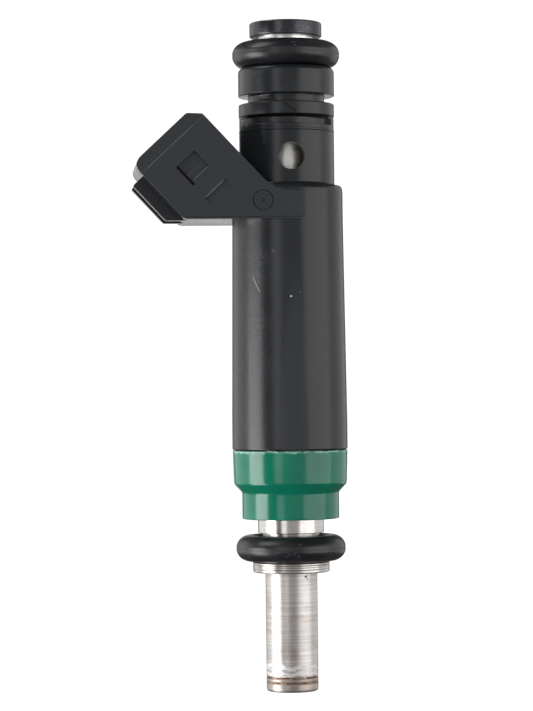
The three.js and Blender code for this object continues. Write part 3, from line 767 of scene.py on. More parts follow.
def node_outline(node: str, soften: float) -> list[Corner]:
    """Reads the outline of a turned CAD node from the column of its points over +X.

    Args:
        node: the CAD node's name.
        soften: how far each of its corners is rounded.

    Returns:
        The corners in order, from the axis to the axis or round a closed loop.
    """
    shape = bmesh.new()
    shape.from_mesh(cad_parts[node].data)
    bmesh.ops.remove_doubles(shape, verts=shape.verts, dist=WELD)
    column = {v for v in shape.verts if abs(v.co.y) < ON_AXIS and v.co.x > -ON_AXIS}
    links = {v: [e.other_vert(v) for e in v.link_edges if e.other_vert(v) in column] for v in column}
    ends = [v for v in column if len(links[v]) == 1]
    here = min(ends or column, key=lambda v: (v.co.z, v.co.x))
    path = [here]
    while True:
        ahead = [v for v in links[here] if v not in path]
        if not ahead:
            break
        here = min(ahead, key=lambda v: (v.co.z, v.co.x)) if len(path) == 1 else ahead[0]
        path.append(here)
    corners = [Corner(v.co.x / MM, v.co.z / MM, soften if v.co.x > ON_AXIS else 0.0) for v in path]
    shape.free()
    return corners


# ---- Mesh helpers ----


def made_object(name: str, shape: bmesh.types.BMesh) -> bpy.types.Object:
    """Turns an edit mesh into an object with its faces turned outwards.

    Args:
        name: the object's name.
        shape: the edit mesh, which is freed.

    Returns:
        The object, linked to the scene.
    """
    bmesh.ops.recalc_face_normals(shape, faces=shape.faces)
    mesh = bpy.data.meshes.new(name)
    shape.to_mesh(mesh)
    shape.free()
    thing = bpy.data.objects.new(name, mesh)
    bpy.context.scene.collection.objects.link(thing)
    return thing


def smoothed(thing: bpy.types.Object) -> bpy.types.Object:
    """Shades an object smooth, apart from its sharp edges."""
    mesh = thing.data
    mesh.polygons.foreach_set("use_smooth", [True] * len(mesh.polygons))
    mesh.set_sharp_from_angle(angle=SMOOTH_ANGLE)
    modifier = thing.modifiers.new("normals", "WEIGHTED_NORMAL")
    modifier.keep_sharp = True
    modifier.weight = FLATNESS
    return settled(thing)


def turned(
    name: str,
    outline: Sequence[Vector],
    facets: int = FACETS,
    shape_point: Optional[Callable[[float, float, float], tuple[float, float]]] = None,
) -> bpy.types.Object:
    """Turns an outline round the axis.

    Args:
        name: the object's name.
        outline: points as (radius, level), closed, or open with both ends on the axis.
        facets: how many columns the surface has.
        shape_point: moves a point, given its angle, radius and level, to a new radius and level.

    Returns:
        The object.
    """
    shape = bmesh.new()
    rings = []
    for radius, level in outline:
        if radius < ON_AXIS:
            rings.append([shape.verts.new((0.0, 0.0, level * MM))])
            continue
        ring = []
        for column in range(facets):
            angle = 2 * math.pi * column / facets
            r, z = shape_point(angle, radius, level) if shape_point else (radius, level)
            ring.append(shape.verts.new((r * math.cos(angle) * MM, r * math.sin(angle) * MM, z * MM)))
        rings.append(ring)
    closed = min(len(rings[0]), len(rings[-1])) > 1
    following = rings[1:] + rings[:1] if closed else rings[1:]
    for ring, after in zip(rings, following):
        for column in range(facets):
            beside = (column + 1) % facets
            corners = [ring[column % len(ring)], ring[beside % len(ring)]]
            corners += [after[beside % len(after)], after[column % len(after)]]
            unique = list(dict.fromkeys(corners))
            shape.faces.new(unique)
    return made_object(name, shape)


def swept(name: str, face: Sequence[Vector], along: Vector) -> bpy.types.Object:
    """Pushes a flat face through space.

    Args:
        name: the object's name.
        face: its corners, in millimetres.
        along: the push, in millimetres.

    Returns:
        The solid.
    """
    shape = bmesh.new()
    near = [shape.verts.new(point * MM) for point in face]
    far = [shape.verts.new((point + along) * MM) for point in face]
    shape.faces.new(near)
    shape.faces.new(far)
    for index, corner in enumerate(near):
        beside = (index + 1) % len(near)
        shape.faces.new((corner, near[beside], far[beside], far[index]))
    return made_object(name, shape)


def slab(name: str, outline: Sequence[Vector], y_low: float, y_high: float) -> bpy.types.Object:
    """Pushes an outline of (x, z) points across Y between two planes."""
    face = [Vector((x, y_low, z)) for x, z in outline]
    return swept(name, face, Vector((0, y_high - y_low, 0)))


def oblong(low: Sequence[float], high: Sequence[float]) -> list[Vector]:
    """Gives the four corners of an upright oblong between two opposite ones."""
    return [Vector(low), Vector((high[0], low[1])), Vector(high), Vector((low[0], high[1]))]


def block(name: str, low: Sequence[float], high: Sequence[float]) -> bpy.types.Object:
    """Makes a square block between two corners, for cutting with."""
    return slab(name, oblong((low[0], low[2]), (high[0], high[2])), low[1], high[1])


def pin(name: str, centre: Vector, radius: float, along: Vector, facets: int = 48) -> bpy.types.Object:
    """Makes a round pin.

    Args:
        name: the object's name.
        centre: the middle of its first end.
        radius: its radius.
        along: from its first end to its second.
        facets: how many sides it has.

    Returns:
        The pin.
    """
    turn = along.to_track_quat("Z", "Y")
    shape = bmesh.new()
    ends = []
    for start in (centre, centre + along):
        angles = (2 * math.pi * i / facets for i in range(facets))
        points = [start + turn @ Vector((radius * math.cos(a), radius * math.sin(a), 0)) for a in angles]
        ends.append([shape.verts.new(point * MM) for point in points])
        shape.faces.new(ends[-1])
    for index in range(facets):
        beside = (index + 1) % facets
        shape.faces.new((ends[0][index], ends[0][beside], ends[1][beside], ends[1][index]))
    return made_object(name, shape)


def settled(thing: bpy.types.Object) -> bpy.types.Object:
    """Applies an object's modifiers to its mesh."""
    bpy.context.view_layer.update()
    graph = bpy.context.evaluated_depsgraph_get()
    mesh = bpy.data.meshes.new_from_object(thing.evaluated_get(graph))
    old = thing.data
    thing.modifiers.clear()
    thing.data = mesh
    bpy.data.meshes.remove(old)
    return thing


class Join(Enum):
    """How a tool acts on a solid."""

    ADD = "UNION"
    CUT = "DIFFERENCE"
    KEEP = "INTERSECT"


def worked(thing: bpy.types.Object, how: Join, *tools: bpy.types.Object) -> bpy.types.Object:
    """Adds, cuts or keeps what each tool covers, and removes the tools.

    Args:
        thing: the solid that is worked on.
        how: what each tool does.
        tools: closed solids.

    Returns:
        The same object.
    """
    for tool in tools:
        modifier = thing.modifiers.new(how.name, "BOOLEAN")
        modifier.operation = how.value
        modifier.solver = "EXACT"
        modifier.object = tool
        settled(thing)
        mesh = tool.data
        bpy.data.objects.remove(tool)
        bpy.data.meshes.remove(mesh)
    return thing


def bevelled(
    thing: bpy.types.Object, width: float, segments: int = 2, angle: float = 30.0
) -> bpy.types.Object:
    """Rounds an object's sharp edges.

    Args:
        thing: the object.
        width: how far the rounding reaches, in millimetres.
        segments: how many faces it has.
        angle: edges flatter than this many degrees are left.

    Returns:
        The same object.
    """
    modifier = thing.modifiers.new("edges", "BEVEL")
    modifier.width = width * MM
    modifier.segments = segments
    modifier.limit_method = "ANGLE"
    modifier.angle_limit = math.radians(angle)
    return settled(thing)


def welded_copy(name: str, node: str) -> bpy.types.Object:
    """Copies a CAD node's mesh as one clean solid, ready for finer work."""
    shape = bmesh.new()
    shape.from_mesh(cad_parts[node].data)
    bmesh.ops.remove_doubles(shape, verts=shape.verts, dist=WELD)
    bmesh.ops.dissolve_limit(
        shape, angle_limit=math.radians(1), verts=shape.verts, edges=shape.edges, delimit=set()
    )
    return made_object(name, shape)


class Body(Enum):
    """The two bodies of the frame."""

    HOUSING = "housing"
    NEEDLE = "needle"


def fitted(
    thing: bpy.types.Object, node: str, finish: Finish, body: Body = Body.HOUSING
) -> bpy.types.Object:
    """Dresses a piece and puts it in the place of its CAD node.

    Args:
        thing: the finished mesh.
        node: the CAD node it stands for, which is hidden.
        finish: what it is dressed in.
        body: the body it rides on.

    Returns:
        The same object.
    """
    smoothed(thing)
    thing.data.materials.clear()
    thing.data.materials.append(finish.material(f"{thing.name}_finish"))
    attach(thing, body.value)
    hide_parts(node)
    LOG.info("%s: %d faces", thing.name, len(thing.data.polygons))
    return thing


def from_outline(
    node: str,
    way: str,
    soften: float,
    finish: Finish,
    facets: int = SMALL_FACETS,
    body: Body = Body.HOUSING,
) -> None:
    """Turns a piece from its CAD node's outline and dresses it.

    Args:
        node: the CAD node it stands for.
        way: how it is made, which ends its name.
        soften: how far each corner is rounded.
        finish: what it is dressed in.
        facets: how many columns its surface has.
        body: the body it rides on.
    """
    piece = turned(f"{node}_{way}", rounded(node_outline(node, soften)), facets)
    fitted(piece, node, finish, body)


def from_copy(
    node: str, way: str, width: float, finish: Finish, body: Body = Body.HOUSING
) -> None:
    """Rounds the edges of a clean copy of a CAD node and dresses it.

    Args:
        node: the CAD node it stands for.
        way: how it is made, which ends its name.
        width: how far the rounding reaches.
        finish: what it is dressed in.
        body: the body it rides on.
    """
    piece = bevelled(welded_copy(f"{node}_{way}", node), width, 2, COPY_EDGE)
    fitted(piece, node, finish, body)


# ---- Header frame ----


@dataclass(frozen=True)
class HeaderFrame:
    """The directions of the tilted electrical header."""

    tilt: float = math.radians(47)
    mouth_x: float = -16.95
    mouth_z: float = 74.3

    def at(self, depth: float, offset: float) -> Vector:
        """Gives (x, z) at a depth behind the mouth and an offset across the header."""
        cos, sin = math.cos(self.tilt), math.sin(self.tilt)
        x = self.mouth_x + depth * cos + offset * sin
        return Vector((x, self.mouth_z - depth * sin + offset * cos))

    def depth_at(self, offset: float, level: float) -> float:
        """Gives the depth at which a line at an offset reaches a level."""
        return (self.mouth_z + offset * math.cos(self.tilt) - level) / math.sin(self.tilt)

    def box(
        self, name: str, depths: Sequence[float], offsets: Sequence[float], y: Sequence[float]
    ) -> bpy.types.Object:
        """Makes a block in the header's directions."""
        corners = oblong((depths[0], offsets[0]), (depths[1], offsets[1]))
        return slab(name, [self.at(*corner) for corner in corners], y[0], y[1])

    def groove(
        self, name: str, profile: Sequence[tuple[float, float]], offsets: Sequence[float]
    ) -> bpy.types.Object:
        """Pushes a profile of (depth, y) points across the header between two offsets."""
        face = []
        for depth, y in profile:
            x, z = self.at(depth, offsets[0])
            face.append(Vector((x, y, z)))
        push = self.at(0, offsets[1]) - self.at(0, offsets[0])
        return swept(name, face, Vector((push.x, 0, push.y)))


# ---- Jacket ----


@dataclass(frozen=True)
class MouldInsert:
    """The round insert's edge in the block's front face, with the dots of its dial."""

    x: float = -3.9
    drop: float = 2.3  # below the block's top
    radius: float = 1.4
    core: float = 1.2
    depth: float = 0.15
    dots: int = 8
    dot_circle: float = 0.82
    dot_radius: float = 0.11
    dot_depth: float = 0.12
    hub_radius: float = 0.3
    hub_depth: float = 0.1
    stand: float = 0.5  # how far in front of the face a tool starts

    def tools(self, face: float, level: float) -> list[bpy.types.Object]:
        """Makes what cuts the ring and the dots.

        Args:
            face: the distance of the front face from the axis.
            level: the block's top.

        Returns:
            The tools.
        """
        centre = Vector((self.x, -face - self.stand, level - self.drop))
        ring = pin("insert", centre, self.radius, Vector((0, self.stand + self.depth, 0)))
        core = pin("core", centre - Vector((0, 1, 0)), self.core, Vector((0, 3, 0)))
        tools = [worked(ring, Join.CUT, core)]
        for index in range(self.dots):
            angle = 2 * math.pi * index / self.dots
            spot = centre + Vector((math.cos(angle), 0, math.sin(angle))) * self.dot_circle
            tools.append(pin("dot", spot, self.dot_radius, Vector((0, self.stand + self.dot_depth, 0)), 16))
        tools.append(pin("dot", centre, self.hub_radius, Vector((0, self.stand + self.hub_depth, 0)), 24))
        return tools


@dataclass(frozen=True)
class Jacket:
    """The black moulding: body, connector block, header, neck and collars."""

    header: HeaderFrame = HeaderFrame()
    insert: MouldInsert = MouldInsert()
    skirt: float = 3.6
    edge: float = 0.32
    draft: float = 0.31
    body_height: float = 30.75
    block_height: float = 4.7
    shoulder_round: float = 1.0
    neck: float = 6.4
    neck_height: float = 8.0
    throat: float = 6.37  # the neck above its bead line
    bead_drop: float = 0.8
    bead: Pairs = ((0.0, -0.06), (-0.05, -0.02), (0.02, 0.05), (0.02, 0.25), (-0.03, 0.3))  # out, up
    slot_height: float = 1.3
    slot_depth: float = 0.34
    slot_shift: float = 0.33
    slit_height: float = 0.42
    slit_depth: float = 1.7
    slit_overlap: float = 0.04  # into the lower collar
    land: float = 5.4
    lower_collar: float = 6.435
    lower_collar_height: float = 1.7
    clip_groove: float = 5.15
    clip_groove_height: float = 1.1
    upper_collar: float = 6.475
    upper_collar_round: float = 0.75
    cross_hole: float = 1.8
    cross_hole_rise: float = 3.7
    half_height: float = 5.625
    half_width: float = 7.7
    wall: float = 1.6
    socket_depth: float = 11.0
    socket_round: float = 0.9
    lead_in: float = 0.35
    lead_depth: float = 0.55
    chamfer: float = 1.5
    block_end: float = 2.6
    flat_end: float = 1.2
    end_half_width: float = 7.0
    rib_start: float = 2.0
    rib_drop: float = 1.7
    rib_round: float = 0.3
    rib_half_width: float = 0.8
    rib_places: tuple[float, ...] = (-3.0, 3.0)
    band: float = 1.7
    band_sink: float = 0.13
    band_slope: float = 0.12
    latch: Pairs = ((4.3, 0.4), (5.72, 0.36), (5.82, 0.24), (6.9, 0.34), (7.12, 0.06), (7.7, 0.1))
    latch_slit: Pairs = ((4.3, 1.4), (7.6, 1.4))
    dimple: Pairs = ((9.9, 0.16), (11.7, 0.03))
    ridge: Pairs = ((9.5, 0.1), (9.72, -0.07), (9.88, -0.07), (9.9, 0.1))
    dimple_half: float = 1.85
    reach: float = 1.0
    seam_rise: float = 0.14
    seam_height: float = 0.13
    scar: Pairs = ((-1.0, 78.6), (-0.8, 78.75), (0.1, 77.95), (0.6, 77.7), (0.5, 77.5), (-0.05, 77.75))
    scar_depth: float = 0.12

    def levels(self) -> dict[str, float]:
        """Works out the levels along the axis from the frame's own box."""
        span = Span.of("jacket")
        underside = span.bottom + self.body_height
        shoulder = underside + self.block_height
        slot = shoulder + self.neck_height
        lower = slot + self.slot_height
        groove = lower + self.lower_collar_height
        return {
            "foot": span.bottom,
            "underside": underside,
            "shoulder": shoulder,
            "slot": slot,
            "lower": lower,
            "groove": groove,
            "upper": groove + self.clip_groove_height,
            "top": span.top,
        }

    def shell(self) -> bpy.types.Object:
        """Turns the body, neck and collars with their inner bores."""
        at = self.levels()
        radius = Span.of("jacket").radius
        can, tube = Span.of("magnet_can"), Span.of("inlet_tube")
        bead = at["slot"] - self.bead_drop
        shoulder = radius - self.draft
        corners = [
            Corner(can.radius + FIT, at["foot"]),
            Corner(radius, at["foot"], self.edge),
            Corner(radius, at["foot"] + self.skirt, 1.2),
            Corner(shoulder, at["underside"]),
            Corner(shoulder, at["shoulder"], self.shoulder_round),
            Corner(self.neck, at["shoulder"], 0.35),
            *(Corner(self.neck + out, bead + up) for out, up in self.bead),
            Corner(self.throat, at["slot"] - 0.2),
            Corner(self.throat, at["lower"]),
            Corner(self.lower_collar, at["lower"], 0.06),
            Corner(self.lower_collar, at["groove"], 0.18),
            Corner(self.clip_groove, at["groove"], 0.15),
            Corner(self.clip_groove, at["upper"], 0.15),
            Corner(self.upper_collar, at["upper"], 0.16),
            Corner(self.upper_collar, at["top"], self.upper_collar_round),
            Corner(tube.radius + FIT, at["top"], 0.2),
            Corner(tube.radius + FIT, can.top + FIT),
            Corner(can.radius + FIT, can.top + FIT),
        ]
        return turned("jacket_moulding", rounded(corners))

    def connector(self) -> bpy.types.Object:
        """Shapes the connector block and the header before they are cut."""
        at, high = self.levels(), self.half_height
        header, low = self.header, -self.half_height
        block_top = at["shoulder"] - self.shoulder_round
        points = [
            (header.at(0, low), 1.5),
            (header.at(header.depth_at(low, at["underside"]), low), 0.5),
            (Vector((self.block_end, at["underside"])), 0.0),
            (Vector((self.block_end, block_top)), 0.0),
            (header.at(header.depth_at(high, block_top), high), 2.2),
            (header.at(self.chamfer, high), 0.2),
            (header.at(0, high - self.chamfer), 0.25),
        ]
        outline = rounded([Corner(point.x, point.y, size) for point, size in points])
        body = slab("connector", outline, -self.half_width, self.half_width)
        far = self.header.mouth_x - 2 * high
        half, end = self.half_width, self.end_half_width
        plan = [(far, -half), (self.flat_end, -half), (self.block_end, -end)]
        plan += [(x, -y) for x, y in reversed(plan)]
        foot = at["underside"] - self.reach
        face = [Vector((x, y, foot)) for x, y in plan]
        keep = swept("plan", face, Vector((0, 0, 4 * high + at["top"] - foot)))
        return bevelled(worked(body, Join.KEEP, keep), 0.22, 3)

    def key_ribs(self) -> list[bpy.types.Object]:
        """Makes the two ribs under the header that key its plug."""
        header, level = self.header, self.levels()["underside"]
        root, tip = -self.half_height + self.wall / 2, -self.half_height - self.rib_drop
        corners = [
            Corner(*header.at(self.rib_start, root)),
            Corner(*header.at(self.rib_start, tip), self.rib_round),
            Corner(*header.at(header.depth_at(tip, level), tip), self.rib_round),
            Corner(*header.at(header.depth_at(root, level), root)),
        ]
        half = self.rib_half_width
        ribs = [slab("rib", rounded(corners), y - half, y + half) for y in self.rib_places]
        return [bevelled(rib, 0.12) for rib in ribs]

    def socket_tools(self) -> list[bpy.types.Object]:
        """Makes what cuts the socket and its lead-in."""
        tall, wide = self.half_height - self.wall, self.half_width - self.wall
        main = self.header.box("socket", (-2.0, self.socket_depth), (-tall, tall), (-wide, wide))
        tall, wide = tall + self.lead_in, wide + self.lead_in
        lead = self.header.box("lead", (-2.0, self.lead_depth), (-tall, tall), (-wide, wide))
        return [bevelled(main, self.socket_round, 4), bevelled(lead, 0.5, 3)]

    def sunk(self, name: str, side: int, profile: Pairs, half: Sequence[float]) -> bpy.types.Object:
        """Makes what sinks a profile into one flat side of the header.

        Args:
            name: the tool's name.
            side: -1 for the front and 1 for the back.
            profile: pairs of a depth behind the mouth and how far the side is sunk there.
            half: the two offsets across the header between which it runs.

        Returns:
            The tool.
        """
        out = side * (self.half_width + self.reach)
        floor = [(depth, side * (self.half_width - sink)) for depth, sink in profile]
        return self.header.groove(name, [(profile[0][0], out), *floor, (profile[-1][0], out)], half)

    def side_tools(self) -> list[bpy.types.Object]:
        """Makes what cuts the pockets, the mouth's band and the seam in both flat sides."""
        tall, wide = 2 * self.half_height, self.dimple_half
        slope = (self.band + self.band_slope, 0.0)
        band = ((-1.0, self.band_sink), (self.band, self.band_sink), slope)
        tools = []
        for side in (-1, 1):
            tools += [
                self.sunk("latch", side, self.latch, (-1.55, 1.5)),
                self.sunk("slit", side, self.latch_slit, (-wide, -1.5)),
                self.sunk("dimple", side, self.dimple, (-wide, wide)),
                self.sunk("band", side, band, (-tall, tall)),
                block("seam", *self.seam(side)),
            ]
        return tools

    def seam(self, side: int) -> tuple[Vector, Vector]:
        """Gives the corners of the fine seam along the block's foot on one flat side."""
        foot = self.levels()["underside"] + self.seam_rise
        planes = side * (self.half_width - self.seam_height), side * (self.half_width + self.reach)
        low = Vector((self.header.mouth_x, min(planes), foot))
        return low, Vector((self.flat_end, max(planes), foot + self.seam_height))

    def ridges(self) -> list[bpy.types.Object]:
        """Makes the fine raised edge beside the dimple in each flat side."""
        ridges = []
        for side in (-1, 1):
            profile = [(depth, side * (self.half_width - sink)) for depth, sink in self.ridge]
            ridges.append(self.header.groove("ridge", profile, (-self.dimple_half, self.dimple_half)))
        return ridges

    def neck_tools(self) -> list[bpy.types.Object]:
        """Makes what cuts the clip's interrupted slot, the slit above it and the cross hole."""
        at = self.levels()
        floor, out = self.neck - self.slot_depth, self.neck + 2 * self.reach
        corners = [Corner(floor, at["slot"], 0.12), Corner(out, at["slot"]), Corner(out, at["lower"])]
        ring = turned("slot", rounded([*corners, Corner(floor, at["lower"], 0.12)]))
        ring.data.transform(Matrix.Translation((-self.slot_shift * MM, 0, 0)))
        deep = floor - self.slit_depth
        low, high = at["lower"] - self.slit_height, at["lower"] + self.slit_overlap
        slit = turned("slit", oblong((deep, low), (out, high)))
        slit.data.transform(Matrix.Diagonal((self.neck / deep, 1, 1, 1)))
        far = 2 * self.neck
        land = block(
            "land", (-far, -self.land / 2, at["slot"] - 1), (far, self.land / 2, at["lower"] + 1)
        )
        level = at["shoulder"] + self.cross_hole_rise
        hole = pin("hole", Vector((0, -far, level)), self.cross_hole, Vector((0, 2 * far, 0)))
        return [worked(ring, Join.CUT, land), slit, hole]

    def mark_tools(self) -> list[bpy.types.Object]:
        """Makes what cuts the mould insert with its dial and the small scar on the collar."""
        outline = [Vector(point) for point in self.scar]
        scar = slab("scar", outline, -self.neck - 1, -self.neck + self.scar_depth)
        return [*self.insert.tools(self.half_width, self.levels()["shoulder"]), scar]

    def painted_highlight_steps(self) -> tuple[tuple[float, float, float, float], ...]:
        """Gives the middle, length and strength of the painted highlight along each step in the flats."""
        steps = ((self.band + 0.06, -0.7, 9.6, 0.10), (7.02, 0.0, 2.9, 0.16), (9.8, 0.0, 3.6, 0.20))
        return tuple((*self.header.at(*step[:2]), *step[2:]) for step in steps)

    def build(self) -> None:
        """Joins and cuts the moulding and dresses it."""
        moulding = worked(self.shell(), Join.ADD, self.connector(), *self.key_ribs(), *self.ridges())
        tools = self.socket_tools() + self.side_tools() + self.neck_tools() + self.mark_tools()
        worked(moulding, Join.CUT, *tools)
        slit_level = self.levels()["lower"] - self.slit_height / 2
        fitted(moulding, "jacket", JacketNylon(slit_level=slit_level, paled=self.painted_highlight_steps()))


# ---- Spacer ring ----


@dataclass(frozen=True)
class SpacerRing:
    """The green moulding under the jacket, with ragged flash along its top edge."""

    lower_height: float = 3.55
    lower_radius: float = 6.55
    cone_height: float = 1.15
    step_radius: float = 7.625
    flash: float = 0.07
    flash_zone: float = 0.22

    def ragged(self, angle: float, radius: float, level: float) -> tuple[float, float]:
        """Lifts and spreads the top edge unevenly, and leaves the rest."""
        span = Span.of("spacer_ring")
        if radius <= span.radius - 0.2 or level <= span.top - self.flash_zone:
            return radius, level
        swing = noise.noise(Vector((math.cos(angle), math.sin(angle), 0.0)) * 9)
        chip = noise.noise(Vector((math.cos(angle), math.sin(angle), 3.0)) * 22)
        lift = self.flash * (1 - (span.top - level) / self.flash_zone)
        return radius + lift * 0.3 * chip, level + lift * 0.5 * (swing + chip)

    def build(self) -> None:
        """Turns the ring and dresses it."""
        span, stem = Span.of("spacer_ring"), Span.of("valve_body")
        step = span.bottom + self.lower_height
        bore = stem.radius + FIT
        corners = [
            Corner(bore, span.bottom, 0.1),
            Corner(self.lower_radius, span.bottom, 0.18),
            Corner(self.lower_radius, step, 0.25),
            Corner(self.step_radius, step + self.cone_height, 0.35),
            Corner(span.radius, span.top - 0.2),
            Corner(span.radius, span.top - 0.02, 0.05),
            Corner(span.radius - 0.18, span.top - 0.03, 0.05),
            Corner(span.radius - 0.3, span.top - 0.12, 0.05),
            Corner(bore, span.top - 0.12, 0.1),
        ]
        ring = turned("spacer_moulding", rounded(corners), 2 * FACETS, self.ragged)
        fitted(ring, "spacer_ring", GlossyNylon(flash_level=span.top, witness_level=span.bottom + 6.1))


# ---- O-rings ----


@dataclass(frozen=True)
class SealRing:
    """One rubber O-ring with its parting line."""

    node: str
    marks: tuple[tuple[float, float, float, float, float], ...] = ()
    nicks: tuple[tuple[float, float, float], ...] = ()
    ridge: float = 0.07
    ridge_width: float = 0.10
    steps: int = 64

    def outline(self) -> list[Vector]:
        """Draws the round section with a fine step where the mould halves met."""
        span = Span.of(self.node)
        half = span.height / 2
        centre, level = span.radius - half, (span.top + span.bottom) / 2
        points = []
        for step in range(self.steps):
            angle = 2 * math.pi * (step + 0.5) / self.steps
            height = half * math.sin(angle)
            groove = math.exp(-((height / self.ridge_width) ** 2)) * self.ridge
            sink = groove if math.cos(angle) > 0 else 0.0
            points.append(Vector((centre + (half - sink) * math.cos(angle), level + height)))
        return points

    def nicked(self, angle: float, radius: float, level: float) -> tuple[float, float]:
        """Presses small dents into the outer side.

        Args:
            angle: the point's angle round the axis.
            radius: its radius.
            level: its level.

        Returns:
            The point's new radius and its level.
        """
        span = Span.of(self.node)
        middle = (span.top + span.bottom) / 2
        if radius < span.radius - span.height / 3:
            return radius, level
        for at_degrees, rise, depth in self.nicks:
            around = math.remainder(angle - math.radians(at_degrees), 2 * math.pi) * radius
            gap = (around / 0.30) ** 2 + ((level - middle - rise) / 0.16) ** 2
            radius -= depth * math.exp(-gap)
        swell = noise.noise(Vector((math.cos(angle), math.sin(angle), level * 0.2)) * 2.2)
        return radius + 0.012 * swell - 0.012, level

    def build(self) -> None:
        """Turns the ring and dresses it."""
        span = Span.of(self.node)
        ring = turned(f"{self.node}_rubber", self.outline(), 2 * FACETS, self.nicked)
        fitted(ring, self.node, SealRubber((span.top + span.bottom) / 2, marks=self.marks))


# ---- Lower steel ----


@dataclass(frozen=True)
class LowerSteel:
    """The bright tip, its flange, and the valve body's stem and seal groove."""

    tip_wall: float = 0.6
    tip_round: float = 0.5
    weld_levels: tuple[float, ...] = (1.25, 1.9)
    rubbed_levels: tuple[float, ...] = (2.45, 3.35)
    weld_reach: float = 0.14
    weld_floor: float = 0.04
    weld_depth: float = 0.05
    rim_grooves: Pairs = ((0.36, 0.05), (0.58, 0.03), (0.78, 0.05))  # share of the height, depth

    def tip(self) -> None:
        """Turns the tip tube with its weld beads and end rounding."""
        span = Span.of("tip_tube")
        bore = span.radius - self.tip_wall
        corners = [
            Corner(bore, span.bottom, 0.15),
            Corner(span.radius, span.bottom, self.tip_round),
        ]
        for level in self.weld_levels:
            corners += [
                Corner(span.radius, level - self.weld_reach, 0.04),
                Corner(span.radius - self.weld_depth, level - self.weld_floor, 0.02),
                Corner(span.radius - self.weld_depth, level + self.weld_floor, 0.02),
                Corner(span.radius, level + self.weld_reach, 0.04),
            ]
        corners += [Corner(span.radius, span.top), Corner(bore, span.top)]
        finish = TurnedSteel(
            weld_levels=self.weld_levels,
            rubbed_levels=self.rubbed_levels,
            roughness=0.34,
            spots=((1.65, 15.5, 0.35), (1.9, 15.2, 0.2)),
        )
        fitted(turned("tip_tube_turned", rounded(corners)), "tip_tube", finish)

    def flange(self) -> None:
        """Turns the flange with the fine grooves round its rim."""
        span = Span.of("tip_flange")
        bore = Span.of("tip_tube").radius + FIT
        corners = [Corner(bore, span.bottom, 0.1), Corner(span.radius, span.bottom, 0.3)]
        for share, depth in self.rim_grooves:
            level = span.bottom + share * span.height
            corners += [
                Corner(span.radius, level - 0.07, 0.02),
                Corner(span.radius - depth, level, 0.02),
                Corner(span.radius, level + 0.07, 0.02),
            ]
        corners += [Corner(span.radius, span.top, 0.12), Corner(bore, span.top, 0.1)]
        finish = TurnedSteel(rust_share=0.55, roughness=0.24, spots=((-4.4, 16.95, 0.22), (4.3, 17.0, 0.2)))
        fitted(turned("tip_flange_turned", rounded(corners)), "tip_flange", finish)

    def build(self) -> None:
        """Makes the three pieces."""
        self.tip()
        self.flange()
        stem = TurnedSteel(roughness=0.16, rust_share=0.66, contrast=0.3)
        from_outline("valve_body", "turned", 0.08, stem, FACETS)


# ---- Valve seat and spray plate ----


@dataclass(frozen=True)
class SprayEnd:
    """What sits in the tip's end: the spray plate, the seat and the ball's guide."""

    holes: int = 4
    hole_radius: float = 0.12
    hole_circle: float = 0.4

    def plate(self) -> None:
        """Turns the thin plate with a shallow dish and drills its spray holes."""
        span = Span.of("orifice_plate")
        corners = [
            Corner(0, span.bottom + 0.08),
            Corner(1.1, span.bottom + 0.08, 0.2),
            Corner(1.3, span.bottom, 0.2),
            Corner(span.radius, span.bottom, 0.05),
            Corner(span.radius, span.top, 0.05),
            Corner(0, span.top),
        ]
        plate = turned("orifice_plate_disc", rounded(corners), SMALL_FACETS)
        drills = []
        for index in range(self.holes):
            angle = math.pi / self.holes + 2 * math.pi * index / self.holes
            spot = Vector((self.hole_circle * math.cos(angle), self.hole_circle * math.sin(angle), -1))
            drills.append(pin("drill", spot, self.hole_radius, Vector((0, 0, 3)), 24))
        finish = TurnedSteel(roughness=0.3, rust_share=0.7)
        fitted(worked(plate, Join.CUT, *drills), "orifice_plate", finish)

    def build(self) -> None:
        """Makes the three pieces."""
        self.plate()
        from_outline("valve_seat", "turned", 0.04, Metal.GROUND_STEEL.value)
        from_copy("ball_guide", "pressing", 0.05, Metal.GROUND_STEEL.value)


# ---- Inlet end ----


